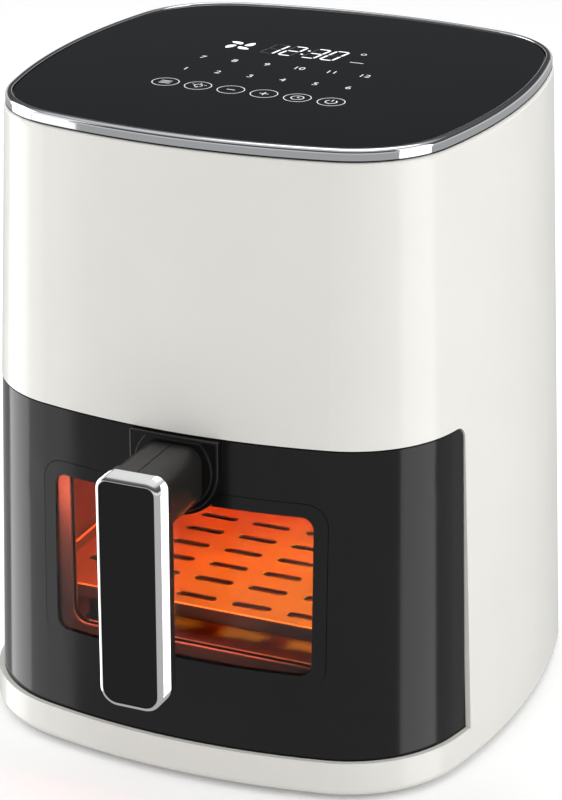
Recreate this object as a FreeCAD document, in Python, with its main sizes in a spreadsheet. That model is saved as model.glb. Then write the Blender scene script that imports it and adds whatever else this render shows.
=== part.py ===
import FreeCAD, Part
import math
import os
import Sketcher

# Countertop air fryer with a wrap-around drawer front.
# Millimetres. The front looks along -Y, +Z is up, z = 0 is the table under the feet.
V = FreeCAD.Vector
doc = FreeCAD.newDocument("air_fryer")

# Driving dimensions: name, value, what it is.
DIMENSIONS = [
    ("half_width", 135.0, "half of the square body at table level"),
    ("side_radius", 345.0, "radius of the four bowed sides at table level"),
    ("corner_radius", 67.0, "radius of the four corners at table level"),
    ("draft", 0.0425, "inward lean of the body for each millimetre of height"),
    ("wall", 2.6, "wall of the outer shell"),
    ("foot_height", 3.0, "height of the rubber feet"),
    ("foot_radius", 10.0, "radius of the rubber feet"),
    ("foot_place", 84.0, "distance of the feet from the middle, both ways"),
    ("shell_bottom", 2.5, "lower end of the shell"),
    ("shell_top", 318.0, "upper end of the shell"),
    ("ring_top", 324.0, "upper end of the bright ring, the overall height"),
    ("shoulder", 2.6, "rounding of the shell under the ring"),
    ("base_edge", 4.0, "rounding of the lower edge of the shell"),
    ("opening_back", -64.0, "rear end of the drawer opening"),
    ("opening_bottom", 20.5, "lower end of the drawer opening"),
    ("opening_top", 180.6, "upper end of the drawer opening"),
    ("opening_corner", 6.5, "rounding of the upper corners of the opening"),
    ("panel_gap", 0.9, "gap around the drawer front"),
    ("panel_inset", 2.9, "inset of the drawer front at table level"),
    ("panel_lean", 0.0284, "inward lean of the drawer front"),
    ("panel_wall", 3.2, "wall of the drawer front"),
    ("panel_flange", 9.0, "depth of the upper and lower return of the drawer front"),
    ("window_half", 68.0, "half width of the window"),
    ("window_bottom", 64.0, "lower edge of the window"),
    ("window_top", 146.0, "upper edge of the window"),
    ("window_corner", 6.5, "corner radius of the window"),
    ("lens_border", 7.0, "seat of the window lens around the window"),
    ("lens_thickness", 2.0, "thickness of the window lens"),
    ("boss_radius", 23.0, "half width of the handle boss"),
    ("boss_middle", 164.0, "height of the middle of the round end of the boss"),
    ("boss_back", -126.0, "flat seat of the handle boss"),
    ("boss_front", -130.4, "front of the handle boss"),
    ("boss_step", 20.0, "radius of the raised step on the boss"),
    ("arm_root", -131.4, "rear end of the handle arm"),
    ("arm_half", 15.3, "half width of the handle arm"),
    ("arm_bottom", 147.0, "underside of the handle arm"),
    ("grip_front", -180.0, "front face of the handle"),
    ("grip_joint", -169.0, "joint between bright frame and black grip"),
    ("grip_back", -161.5, "rear face of the grip"),
    ("grip_half", 16.0, "half width of the grip"),
    ("grip_bottom", 60.0, "lower end of the grip"),
    ("grip_top", 176.6, "upper end of the grip"),
    ("bezel_rim", 1.8, "front rim of the bright frame"),
    ("pan_half", 100.0, "half width of the pan"),
    ("pan_corner", 28.0, "corner radius of the pan"),
    ("pan_bottom", 32.0, "underside of the pan"),
    ("pan_top", 163.0, "rim of the pan"),
    ("pan_wall", 1.5, "sheet of the pan"),
    ("pan_rim", 4.0, "width of the rim of the pan"),
    ("crisper_half", 95.5, "half width of the crisper plate"),
    ("crisper_floor", 68.0, "underside of the crisper plate"),
    ("crisper_top", 75.0, "rim of the crisper plate"),
    ("liner_half", 107.2, "half width of the chamber"),
    ("liner_corner", 33.2, "corner radius of the chamber"),
    ("liner_sheet", 1.2, "sheet of the chamber"),
    ("liner_bottom", 24.0, "underside of the chamber"),
    ("liner_top", 236.0, "upper end of the chamber walls"),
    ("hood_bottom", 185.0, "lower end of the hood over the pan"),
    ("hood_front", -103.2, "front of the hood over the pan"),
    ("frame_front", -63.0, "front face of the bay frame"),
    ("frame_back", -60.0, "rear face of the bay frame"),
    ("coil_height", 200.0, "height of the heater coil"),
    ("coil_tube", 3.3, "radius of the heater tube"),
    ("coil_ring", 88.0, "radius of the outer turn of the coil"),
    ("coil_pitch", 14.0, "distance between turns of the coil"),
    ("fan_radius", 50.0, "radius of both fans"),
    ("shaft_radius", 3.0, "radius of the fan shaft"),
    ("motor_radius", 24.0, "radius of the motor"),
    ("motor_bottom", 256.0, "underside of the motor"),
    ("motor_top", 290.0, "upper end of the motor"),
    ("deck_top", 319.8, "seat of the glass on the deck"),
    ("glass_top", 323.2, "upper face of the glass"),
    ("glass_inset", 17.8, "inset of the glass edge"),
    ("ring_inset", 14.2, "inset of the outside of the bright ring"),
    ("board_height", 310.0, "underside of the touch board"),
    ("vent_half", 42.0, "half width of the rear vent"),
    ("vent_bottom", 236.0, "lower edge of the rear vent"),
    ("vent_top", 284.0, "upper edge of the rear vent"),
    ("gland_height", 40.0, "height of the cord gland"),
    ("gland_seat", 134.3, "flat seat of the cord gland"),
    ("gland_length", 7.2, "reach of the cord gland behind its seat"),
    ("cord_radius", 3.6, "radius of the bore for the cord"),
]

sheet = doc.addObject("Spreadsheet::Sheet", "dims")
for line, (name, value, note) in enumerate(DIMENSIONS, 1):
    sheet.set("A%d" % line, name)
    sheet.set("B%d" % line, str(value))
    sheet.set("C%d" % line, note)
    sheet.setAlias("B%d" % line, name)
doc.recompute()


class Size:
    """A length with its value and the sheet formula it follows from."""

    def __init__(self, value, text=None):
        self.value = float(value)
        self.text = text

    def mix(self, other, sign, swap=False):
        if not isinstance(other, Size):
            other = Size(other)
        first, second = (other, self) if swap else (self, other)
        value = {
            "+": first.value + second.value,
            "-": first.value - second.value,
            "*": first.value * second.value,
        }[sign]
        if first.text is None and second.text is None:
            return Size(value)
        left = first.text or "(%r)" % first.value
        right = second.text or "(%r)" % second.value
        return Size(value, "(%s %s %s)" % (left, sign, right))

    def __add__(self, other):
        return self.mix(other, "+")

    def __radd__(self, other):
        return self.mix(other, "+", True)

    def __sub__(self, other):
        return self.mix(other, "-")

    def __rsub__(self, other):
        return self.mix(other, "-", True)

    def __mul__(self, other):
        return self.mix(other, "*")

    def __rmul__(self, other):
        return self.mix(other, "*", True)

    def __neg__(self):
        return self.mix(0.0, "-", True)


class Dimensions:
    """The sheet's cells as sizes."""


d = Dimensions()
for name, value, note in DIMENSIONS:
    setattr(d, name, Size(value, "dims." + name))


def as_size(value):
    return value if isinstance(value, Size) else Size(value)


def drive(target, path, size):
    """Binds a property to its formula, or sets it where it is a plain number."""
    size = as_size(size)
    if size.text is None and "." not in path:
        setattr(target, path, size.value)
    else:
        target.setExpression(path, size.text or "%r" % size.value)


# Sketch helpers

def new_body(label):
    body = doc.addObject("PartDesign::Body", label)
    body.Label = label
    return body


def origin_part(body, role):
    return next(item for item in body.Origin.OriginFeatures if item.Role == role)


def new_sketch(body, role, offset):
    sketch = body.newObject("Sketcher::SketchObject", body.Name + "_sketch")
    sketch.AttachmentSupport = [(origin_part(body, role), "")]
    sketch.MapMode = "FlatFace"
    drive(sketch, "AttachmentOffset.Base.z", offset)
    return sketch


def bind(sketch, size, *constraint):
    size = as_size(size)
    index = sketch.addConstraint(Sketcher.Constraint(*constraint, size.value))
    if size.text:
        sketch.setExpression("Constraints[%d]" % index, size.text)


def bend(sketch, middle, radius, first, last):
    """Adds the short arc between two points; returns it with the number of its end at the first point."""
    one = math.atan2(first.y - middle.y, first.x - middle.x)
    two = math.atan2(last.y - middle.y, last.x - middle.x)
    ring = Part.Circle(middle, V(0, 0, 1), radius)
    if (two - one) % (2 * math.pi) <= math.pi + 1e-9:
        return sketch.addGeometry(Part.ArcOfCircle(ring, one, one + (two - one) % (2 * math.pi))), 1
    return sketch.addGeometry(Part.ArcOfCircle(ring, two, two + (one - two) % (2 * math.pi))), 2


def circle(sketch, x, y, radius):
    x, y, radius = as_size(x), as_size(y), as_size(radius)
    ring = Part.Circle(V(x.value, y.value, 0), V(0, 0, 1), radius.value)
    item = sketch.addGeometry(ring)
    bind(sketch, radius, "Radius", item)
    bind(sketch, x, "DistanceX", -1, 1, item, 3)
    bind(sketch, y, "DistanceY", -1, 1, item, 3)


def outline(sketch, corners):
    """A closed outline through (x, y) or rounded (x, y, radius) corners.
    Rounded corners join level and upright lines only."""
    points = [(as_size(c[0]), as_size(c[1]), as_size(c[2] if len(c) > 2 else 0)) for c in corners]
    count = len(points)
    place = [V(p[0].value, p[1].value, 0) for p in points]
    starts, ends = [None] * count, [None] * count
    arcs = [None] * count
    for n in range(count):
        back = (place[n - 1] - place[n]).normalize()
        ahead = (place[(n + 1) % count] - place[n]).normalize()
        radius = points[n][2].value
        ends[n - 1] = place[n] + back * radius
        starts[n] = place[n] + ahead * radius
        if radius:
            arcs[n] = place[n] + (back + ahead) * radius
    lines = [sketch.addGeometry(Part.LineSegment(starts[n], ends[n])) for n in range(count)]
    for n in range(count):
        before = lines[n - 1]
        if arcs[n] is None:
            sketch.addConstraint(Sketcher.Constraint("Coincident", before, 2, lines[n], 1))
            continue
        item, first = bend(sketch, arcs[n], points[n][2].value, ends[n - 1], starts[n])
        sketch.addConstraint(Sketcher.Constraint("Tangent", before, 2, item, first))
        sketch.addConstraint(Sketcher.Constraint("Tangent", item, 3 - first, lines[n], 1))
        bind(sketch, points[n][2], "Radius", item)
    for n in range(count):
        x0, y0, _ = points[n]
        x1, y1, _ = points[(n + 1) % count]
        level = abs(y0.value - y1.value) < 1e-9
        upright = abs(x0.value - x1.value) < 1e-9
        if level:
            sketch.addConstraint(Sketcher.Constraint("Horizontal", lines[n]))
            bind(sketch, y0, "DistanceY", -1, 1, lines[n], 1)
        elif upright:
            sketch.addConstraint(Sketcher.Constraint("Vertical", lines[n]))
            bind(sketch, x0, "DistanceX", -1, 1, lines[n], 1)
    for n in range(count):
        x0, y0, _ = points[n]
        near = (points[n - 1], points[n], points[(n + 1) % count])
        level = [abs(near[k][1].value - near[k + 1][1].value) < 1e-9 for k in (0, 1)]
        upright = [abs(near[k][0].value - near[k + 1][0].value) < 1e-9 for k in (0, 1)]
        if not (upright[0] or upright[1]):
            bind(sketch, x0, "DistanceX", -1, 1, lines[n], 1)
        if not (level[0] or level[1]):
            bind(sketch, y0, "DistanceY", -1, 1, lines[n], 1)


def box(sketch, x0, x1, y0, y1, radius=0):
    outline(sketch, [(x0, y0, radius), (x1, y0, radius), (x1, y1, radius), (x0, y1, radius)])


def plan(sketch, inset):
    """The body's plan: four bowed sides and four tangent corners, moved in by an inset."""
    inset = as_size(inset)
    half = d.half_width - inset
    side = d.side_radius - inset
    corner = d.corner_radius - inset
    away = side.value - half.value
    reach = side.value - corner.value
    offset = (math.sqrt(2 * reach ** 2 - away ** 2) - away) / 2
    swing = math.atan2(-offset - away, offset) + math.pi / 2
    items = []
    for turn in range(4):
        angle = turn * math.pi / 2
        cos, sin = math.cos(angle), math.sin(angle)
        base = angle - math.pi / 2
        for x, y, radius, start, end in (
            (0.0, away, side.value, base - swing, base + swing),
            (offset, -offset, corner.value, base + swing, base + math.pi / 2 - swing),
        ):
            middle = V(cos * x - sin * y, sin * x + cos * y, 0)
            arc = Part.ArcOfCircle(Part.Circle(middle, V(0, 0, 1), radius), start, end)
            items.append(sketch.addGeometry(arc))
    for n in range(8):
        sketch.addConstraint(Sketcher.Constraint("Tangent", items[n], 2, items[(n + 1) % 8], 1))
    for n, axis in ((0, -2), (2, -1), (4, -2), (6, -1)):
        sketch.addConstraint(Sketcher.Constraint("PointOnObject", items[n], 3, axis))
    for n in (2, 4, 6):
        sketch.addConstraint(Sketcher.Constraint("Equal", items[0], items[n]))
    for n in (3, 5, 7):
        sketch.addConstraint(Sketcher.Constraint("Equal", items[1], items[n]))
    bind(sketch, side, "Radius", items[0])
    bind(sketch, corner, "Radius", items[1])
    bind(sketch, side - half, "DistanceY", -1, 1, items[0], 3)
    bind(sketch, side - half, "DistanceX", items[2], 3, -1, 1)
    bind(sketch, side - half, "DistanceY", items[4], 3, -1, 1)
    bind(sketch, side - half, "DistanceX", -1, 1, items[6], 3)


def corner_cut(sketch, y, z, radius):
    """The bit outside a rounded upper rear corner."""
    yv, zv, rv = y.value, z.value, radius.value
    spots = [V(yv - rv, zv + 5, 0), V(yv - rv, zv, 0), V(yv, zv - rv, 0),
             V(yv + 5, zv - rv, 0), V(yv + 5, zv + 5, 0)]
    turn, first = bend(sketch, V(yv - rv, zv - rv, 0), rv, spots[1], spots[2])
    down = sketch.addGeometry(Part.LineSegment(spots[0], spots[1]))
    away = sketch.addGeometry(Part.LineSegment(spots[2], spots[3]))
    rise = sketch.addGeometry(Part.LineSegment(spots[3], spots[4]))
    back = sketch.addGeometry(Part.LineSegment(spots[4], spots[0]))
    for one, end, two, start in ((down, 2, turn, first), (turn, 3 - first, away, 1), (away, 2, rise, 1),
                                 (rise, 2, back, 1), (back, 2, down, 1)):
        sketch.addConstraint(Sketcher.Constraint("Coincident", one, end, two, start))
    for kind, item in (("Vertical", down), ("Horizontal", away), ("Vertical", rise), ("Horizontal", back)):
        sketch.addConstraint(Sketcher.Constraint(kind, item))
    sketch.addConstraint(Sketcher.Constraint("Vertical", turn, 3, turn, first))
    sketch.addConstraint(Sketcher.Constraint("Horizontal", turn, 3, turn, 3 - first))
    bind(sketch, radius, "Radius", turn)
    bind(sketch, y - radius, "DistanceX", -1, 1, turn, 3)
    bind(sketch, z - radius, "DistanceY", -1, 1, turn, 3)
    bind(sketch, y + 5, "DistanceX", -1, 1, rise, 1)
    bind(sketch, z + 5, "DistanceY", -1, 1, back, 1)


# Feature helpers. Sketches for "z" hold (x, y), for "y" (x, z) and for "x" (y, z).

PLANES = {"x": "YZ_Plane", "y": "XZ_Plane", "z": "XY_Plane"}


def add(body, axis, low, high, draw):
    low, high = as_size(low), as_size(high)
    sketch = new_sketch(body, PLANES[axis], -high if axis == "y" else low)
    draw(sketch)
    feature = body.newObject("PartDesign::Pad", body.Name + "_pad")
    feature.Profile = sketch
    drive(feature, "Length", high - low)
    return feature


def cut(body, axis, low, high, draw):
    low, high = as_size(low), as_size(high)
    sketch = new_sketch(body, PLANES[axis], -low if axis == "y" else high)
    draw(sketch)
    feature = body.newObject("PartDesign::Pocket", body.Name + "_pocket")
    feature.Profile = sketch
    drive(feature, "Length", high - low)
    return feature


def loft(body, kind, low, low_inset, high, high_inset):
    """A tapered block, or a tapered hollow, between two plans."""
    lower = new_sketch(body, "XY_Plane", low)
    plan(lower, low_inset)
    upper = new_sketch(body, "XY_Plane", high)
    plan(upper, high_inset)
    feature = body.newObject("PartDesign::%sLoft" % kind, body.Name + "_loft")
    feature.Profile = lower
    feature.Sections = [upper]
    feature.Ruled = True
    return feature


def revolve(body, draw, kind="Revolution"):
    """Turns a (radius, z) sketch about the upright axis."""
    sketch = new_sketch(body, "XZ_Plane", 0)
    draw(sketch)
    feature = body.newObject("PartDesign::" + kind, body.Name + "_turned")
    feature.Profile = sketch
    feature.ReferenceAxis = (sketch, ["V_Axis"])
    feature.Angle = 360
    return feature


def repeat(body, feature, count):
    """Repeats a feature round the upright axis."""
    pattern = body.newObject("PartDesign::PolarPattern", body.Name + "_pattern")
    pattern.Originals = [feature]
    pattern.Axis = (origin_part(body, "Z_Axis"), [""])
    pattern.Angle = 360
    pattern.Occurrences = count
    body.Tip = pattern
    return pattern


def row(body, feature, axis, length, count):
    """Repeats a feature along one axis."""
    pattern = body.newObject("PartDesign::LinearPattern", body.Name + "_row")
    pattern.Originals = [feature]
    pattern.Direction = (origin_part(body, axis + "_Axis"), [""])
    pattern.Length = length
    pattern.Occurrences = count
    body.Tip = pattern
    return pattern


def soften(body, kind, size, wanted):
    """Rounds or chamfers the edges of the body so far that a test picks."""
    doc.recompute()
    base = body.Tip
    names = []
    for number, edge in enumerate(base.Shape.Edges, 1):
        ends = [edge.valueAt(t) for t in (edge.FirstParameter, edge.LastParameter)]
        ends.append(edge.valueAt((edge.FirstParameter + edge.LastParameter) / 2))
        if wanted(ends):
            names.append("Edge%d" % number)
    feature = body.newObject("PartDesign::" + kind, body.Name + "_soft")
    feature.Base = (base, names)
    drive(feature, "Radius" if kind == "Fillet" else "Size", size)
    return feature


def boolean(label, kind, *items):
    feature = doc.addObject("Part::" + kind, label)
    feature.Label = label
    if kind in ("Cut", "Common"):
        feature.Base, feature.Tool = items
    elif kind == "Compound":
        feature.Links = list(items)
    else:
        feature.Shapes = list(items)
    return feature


def cylinder(label, x, y, z, radius, height, axis="z"):
    item = doc.addObject("Part::Cylinder", label)
    turn = {
        "z": FreeCAD.Rotation(),
        "y": FreeCAD.Rotation(V(1, 0, 0), -90),
        "x": FreeCAD.Rotation(V(0, 1, 0), 90),
    }[axis]
    item.Placement = FreeCAD.Placement(V(0, 0, 0), turn)
    drive(item, "Radius", radius)
    drive(item, "Height", height)
    for letter, size in zip("xyz", (x, y, z)):
        drive(item, "Placement.Base." + letter, size)
    return item


def brick(label, x0, x1, y0, y1, z0, z1):
    item = doc.addObject("Part::Box", label)
    for name, low, high in (("Length", x0, x1), ("Width", y0, y1), ("Height", z0, z1)):
        drive(item, name, as_size(high) - low)
    for letter, size in zip("xyz", (x0, y0, z0)):
        drive(item, "Placement.Base." + letter, size)
    return item


def level(height):
    """Picks edges that lie in one level plane."""
    return lambda points: all(abs(p.z - height) < 1e-4 for p in points)


def outside(points):
    return all(math.hypot(p.x, p.y) > 1 and plan_distance(p) < 16 for p in points)


def plan_distance(point):
    """How far a point lies inside the body's plan at table level."""
    x, y = abs(point.x), abs(point.y)
    away = d.side_radius.value - d.half_width.value
    reach = d.side_radius.value - d.corner_radius.value
    offset = (math.sqrt(2 * reach ** 2 - away ** 2) - away) / 2
    slope = (offset + away) / offset
    if y + away > slope * x:
        return d.side_radius.value - math.hypot(x, y + away)
    if x + away > slope * y:
        return d.side_radius.value - math.hypot(x + away, y)
    return d.corner_radius.value - math.hypot(x - offset, y - offset)

def body_inset(z):
    return d.draft * z


def panel_inset(z):
    return d.panel_inset + d.panel_lean * z


nodes = []


def node(label, item):
    """Registers a finished piece under its node name."""
    if item.Label != label:
        item.Label = label
    nodes.append(item)
    return item


# Outer shell: tapered block, rounded above and below, then hollowed and opened.
shell = new_body("outer_shell")
loft(shell, "Additive", d.shell_bottom, body_inset(d.shell_bottom), d.shell_top, body_inset(d.shell_top))
soften(shell, "Fillet", d.shoulder, level(d.shell_top.value))
soften(shell, "Fillet", d.base_edge, level(d.shell_bottom.value))
cavity_low, cavity_high = Size(8), Size(313)
loft(shell, "Subtractive", cavity_low, body_inset(cavity_low) + d.wall,
     cavity_high, body_inset(cavity_high) + d.wall)
cut(shell, "z", cavity_high, d.shell_top + 1, lambda s: plan(s, 23))
cut(shell, "z", 5.5, cavity_low, lambda s: plan(s, 14))
cut(shell, "z", d.shell_bottom - 1, 5.5, lambda s: plan(s, 7))
cut(shell, "x", -200, 200, lambda s: outline(s, [
    (-200, d.opening_bottom), (d.opening_back, d.opening_bottom),
    (d.opening_back, d.opening_top, d.opening_corner), (-200, d.opening_top)]))
cut(shell, "y", 60, 160, lambda s: box(s, -d.vent_half, d.vent_half, d.vent_bottom, d.vent_top, 0))
add(shell, "y", 129, d.gland_seat, lambda s: circle(s, 0, d.gland_height, 12.5))
cut(shell, "y", 120, 140, lambda s: circle(s, 0, d.gland_height, 7.0))
node("outer_shell", shell)

# Base cover with screw posts and air slots.
base = new_body("base_cover")
add(base, "z", d.foot_height, 5.5, lambda s: plan(s, 7.3))
POSTS = [(-80, -36), (80, -36), (-80, 44), (80, 44)]
for x, y in POSTS:
    add(base, "z", 5.5, d.liner_bottom, lambda s, x=x, y=y: circle(s, x, y, 6.5))
for x, y in POSTS:
    cut(base, "z", 0, 40, lambda s, x=x, y=y: circle(s, x, y, 2.06))
    cut(base, "z", 0, 6.0, lambda s, x=x, y=y: circle(s, x, y, 4.4))
slot = cut(base, "z", 0, 5.5, lambda s: box(s, -34, 34, -34, -30, 1.9))
row(base, slot, "Y", 64, 9)
soften(base, "Chamfer", 0.5, lambda p: all(abs(q.z - 3) < 1e-4 and max(abs(q.x), abs(q.y)) > 95 for q in p))
node("base_cover", base)

# Rubber feet: a rounded puck with a hollow underneath.
feet = []
for index, (x, y) in enumerate([(-1, -1), (1, -1), (-1, 1), (1, 1)], 1):
    foot = new_body("foot_%d" % index)
    revolve(foot, lambda s: outline(s, [
        (3.5, 1.0), (4.0, 0.0), (d.foot_radius - 1.2, 0.0), (d.foot_radius, 1.0),
        (d.foot_radius - 0.6, d.foot_height), (0, d.foot_height), (0, 1.0)]))
    foot.setExpression("Placement.Base.x", "%d * dims.foot_place" % x)
    foot.setExpression("Placement.Base.y", "%d * dims.foot_place" % y)
    feet.append(foot)
node("rubber_feet", boolean("rubber_feet", "Compound", *feet))


def screw(label, x, y, head_z, radius, head_radius, head_height, length):
    """An upright screw with its head below and a cross in the head."""
    body = new_body(label)
    revolve(body, lambda s: outline(s, [
        (0, 0), (head_radius - 0.5, 0), (head_radius, 0.5), (head_radius, head_height),
        (radius, head_height), (radius, head_height + length - 1.0),
        (radius * 0.4, head_height + length), (0, head_height + length)]))
    for a, b in ((head_radius * 0.55, 0.4), (0.4, head_radius * 0.55)):
        cut(body, "z", -1, head_height * 0.45, lambda s, a=a, b=b: box(s, -a, a, -b, b))
    body.Placement = FreeCAD.Placement(V(x, y, head_z), FreeCAD.Rotation())
    return body


node("base_screws", boolean("base_screws", "Compound", *[
    screw("base_screw_%d" % n, x, y, 3.5, 2.0, 4.0, 2.5, 22) for n, (x, y) in enumerate(POSTS, 1)]))

# Bay frame: lines the opening behind the drawer front.
frame = new_body("bay_frame")
loft(frame, "Additive", 17.5, body_inset(Size(17.5)) + d.wall + 0.3,
     d.hood_bottom, body_inset(d.hood_bottom) + d.wall + 0.3)
cut(frame, "z", 0, 300, lambda s: box(s, -200, 200, d.frame_back, 200))
cut(frame, "x", -200, 200, lambda s: box(s, -200, d.frame_front, d.opening_bottom - 0.3, d.opening_top + 1.4))
cut(frame, "y", -70, -50, lambda s: box(
    s, d.liner_sheet + 0.2 - d.liner_half, d.liner_half - d.liner_sheet - 0.2,
    d.liner_bottom + d.liner_sheet + 0.2, d.opening_top + 1.4))
cut(frame, "z", d.opening_top, 200, lambda s: outline(s, [
    (d.liner_sheet - d.liner_half, d.hood_front + d.liner_sheet, d.liner_corner - d.liner_sheet),
    (d.liner_half - d.liner_sheet, d.hood_front + d.liner_sheet, d.liner_corner - d.liner_sheet),
    (d.liner_half - d.liner_sheet, 0), (d.liner_sheet - d.liner_half, 0)]))
for x, y in ((-70, -98), (70, -98), (-70, -72), (70, -72)):
    add(frame, "z", 5.5, 18.5, lambda s, x=x, y=y: circle(s, x, y, 4))
node("bay_frame", frame)


# Chamber: folded sheet. The lower part is open to the drawer, the hood above it reaches over the whole pan.
def chamber_plan(sketch, inset):
    half = d.liner_half - inset
    corner = d.liner_corner - inset
    outline(sketch, [(-half, d.frame_back), (half, d.frame_back), (half, half, corner), (-half, half, corner)])


def hood_plan(sketch, inset):
    half = d.liner_half - inset
    box(sketch, -half, half, d.hood_front + inset, half, d.liner_corner - inset)


liner = new_body("chamber_liner")
add(liner, "z", d.liner_bottom, d.hood_bottom + 1, lambda s: chamber_plan(s, 0))
add(liner, "z", d.hood_bottom, d.liner_top, lambda s: hood_plan(s, 0))
cut(liner, "z", d.hood_bottom - 1, d.liner_top + 1, lambda s: hood_plan(s, d.liner_sheet))
cut(liner, "z", d.liner_bottom + d.liner_sheet, d.hood_bottom, lambda s: outline(s, [
    (d.liner_sheet - d.liner_half, -80), (d.liner_half - d.liner_sheet, -80),
    (d.liner_half - d.liner_sheet, d.liner_half - d.liner_sheet, d.liner_corner - d.liner_sheet),
    (d.liner_sheet - d.liner_half, d.liner_half - d.liner_sheet, d.liner_corner - d.liner_sheet)]))
cut(liner, "y", 90, 120, lambda s: circle(s, 60, 120, 3.0))
cut(liner, "x", 100, 120, lambda s: box(s, -40, -12, 192, 214, 3))
for x, y in POSTS:
    cut(liner, "z", 20, 30, lambda s, x=x, y=y: circle(s, x, y, 2.06))
node("chamber_liner", liner)

# Heater path: three turns with two hairpin bends, both ends bent up through the lid.
START, END = math.radians(12), math.radians(348)


def on_ring(radius, angle, z):
    return V(radius * math.cos(angle), radius * math.sin(angle), z)


ring_1 = d.coil_ring.value
ring_2 = ring_1 - d.coil_pitch.value
ring_3 = ring_2 - d.coil_pitch.value
coil_z = d.coil_height.value
BEND = 9.0
LEG_TOP = 252.0


def arc_edge(first, middle, last):
    return Part.Arc(first, middle, last).toShape()


def heading(angle):
    return V(-math.sin(angle), math.cos(angle), 0)


def leg(point, along):
    """Edges of an upright leg that bends into the turn at a point."""
    foot = point + along * BEND
    knee = foot + V(0, 0, BEND)
    half = math.sqrt(0.5)
    middle = knee - along * BEND + (along * half + V(0, 0, -half)) * BEND
    top = V(foot.x, foot.y, LEG_TOP)
    return top, knee, middle


first_point = on_ring(ring_1, START, coil_z)
last_point = on_ring(ring_3, END, coil_z)
top_1, knee_1, mid_1 = leg(first_point, -heading(START))
top_2, knee_2, mid_2 = leg(last_point, heading(END))
between_1 = (ring_1 + ring_2) / 2
between_2 = (ring_2 + ring_3) / 2
turn_radius = (ring_1 - ring_2) / 2
coil_edges = [
    Part.LineSegment(top_1, knee_1).toShape(),
    arc_edge(knee_1, mid_1, first_point),
    arc_edge(first_point, on_ring(ring_1, math.pi, coil_z), on_ring(ring_1, END, coil_z)),
    arc_edge(on_ring(ring_1, END, coil_z), on_ring(between_1, END, coil_z) + heading(END) * turn_radius,
             on_ring(ring_2, END, coil_z)),
    arc_edge(on_ring(ring_2, END, coil_z), on_ring(ring_2, math.pi, coil_z), on_ring(ring_2, START, coil_z)),
    arc_edge(on_ring(ring_2, START, coil_z), on_ring(between_2, START, coil_z) - heading(START) * turn_radius,
             on_ring(ring_3, START, coil_z)),
    arc_edge(on_ring(ring_3, START, coil_z), on_ring(ring_3, math.pi, coil_z), last_point),
    arc_edge(last_point, mid_2, knee_2),
    Part.LineSegment(knee_2, top_2).toShape(),
]
path = Part.Wire(coil_edges)
section = Part.Wire([Part.Circle(top_1, V(0, 0, 1), d.coil_tube.value).toShape()])
coil = doc.addObject("Part::Feature", "heater_coil")
coil.Shape = path.makePipeShell([section], True, False)
node("heater_coil", coil)
LEGS = [(top_1.x, top_1.y), (top_2.x, top_2.y)]

# Lid of the chamber.
roof = new_body("chamber_roof")
add(roof, "z", d.liner_top, d.liner_top + d.liner_sheet, lambda s: hood_plan(s, 0))
roof_top = d.liner_top + d.liner_sheet
cut(roof, "z", 230, 240, lambda s: circle(s, 0, 0, 6))
for x, y in LEGS:
    cut(roof, "z", 230, 240, lambda s, x=x, y=y: circle(s, x, y, d.coil_tube + 0.5))
SENSOR = (-74, 62)
cut(roof, "z", 230, 240, lambda s: circle(s, SENSOR[0], SENSOR[1], 2.6))
node("chamber_roof", roof)

bushes = []
for index, (x, y) in enumerate(LEGS, 1):
    outer = cylinder("bush_outer_%d" % index, x, y, roof_top, 6.8, 9)
    inner = cylinder("bush_inner_%d" % index, x, y, roof_top - 1, d.coil_tube + 0.12, 11)
    bushes.append(boolean("heater_bush_%d" % index, "Cut", outer, inner))
node("heater_bushes", boolean("heater_bushes", "Compound", *bushes))

# Hangers under the turns of the heater.
hangers = []
strip_top = d.coil_height - d.coil_tube - 0.02
for index, angle in enumerate((60, 180, 300), 1):
    hanger = new_body("hanger_%d" % index)
    add(hanger, "y", -4, 4, lambda s: outline(s, [
        (54, strip_top - 1.2), (97.2, strip_top - 1.2), (97.2, d.liner_top), (88, d.liner_top),
        (88, d.liner_top - 1.2), (96, d.liner_top - 1.2), (96, strip_top), (54, strip_top)]))
    hanger.Placement = FreeCAD.Placement(V(0, 0, 0), FreeCAD.Rotation(V(0, 0, 1), angle))
    hangers.append(hanger)
node("heater_brackets", boolean("heater_brackets", "Compound", *hangers))

# Rails that carry the pan.
rails = []
for side in (-1, 1):
    rail = new_body("rail_left" if side < 0 else "rail_right")
    low, high = (-74, -66) if side < 0 else (66, 74)
    add(rail, "z", d.liner_bottom + d.liner_sheet, d.pan_bottom - 0.3,
        lambda s, low=low, high=high: box(s, low, high, -56, 98, 3.9))
    rails.append(rail)
node("guide_rails", boolean("guide_rails", "Compound", *rails))

# Motor on its bridge, with two bushes for the shaft.
bridge = new_body("motor_bracket")
plate_low = d.motor_bottom - 2
add(bridge, "x", -20, 20, lambda s: outline(s, [
    (-74, roof_top), (-57, roof_top), (-57, plate_low), (57, plate_low), (57, roof_top), (74, roof_top),
    (74, roof_top + 1.6), (58.8, roof_top + 1.6), (58.8, d.motor_bottom), (-58.8, d.motor_bottom),
    (-58.8, roof_top + 1.6), (-74, roof_top + 1.6)]))
cut(bridge, "z", 250, 258, lambda s: circle(s, 0, 0, 8))
MOTOR_HOLES = [(17 * math.cos(a), 17 * math.sin(a)) for a in (math.pi / 4, 5 * math.pi / 4)]
for x, y in MOTOR_HOLES:
    cut(bridge, "z", 250, 258, lambda s, x=x, y=y: circle(s, x, y, 1.7))
node("motor_bracket", bridge)

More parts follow.
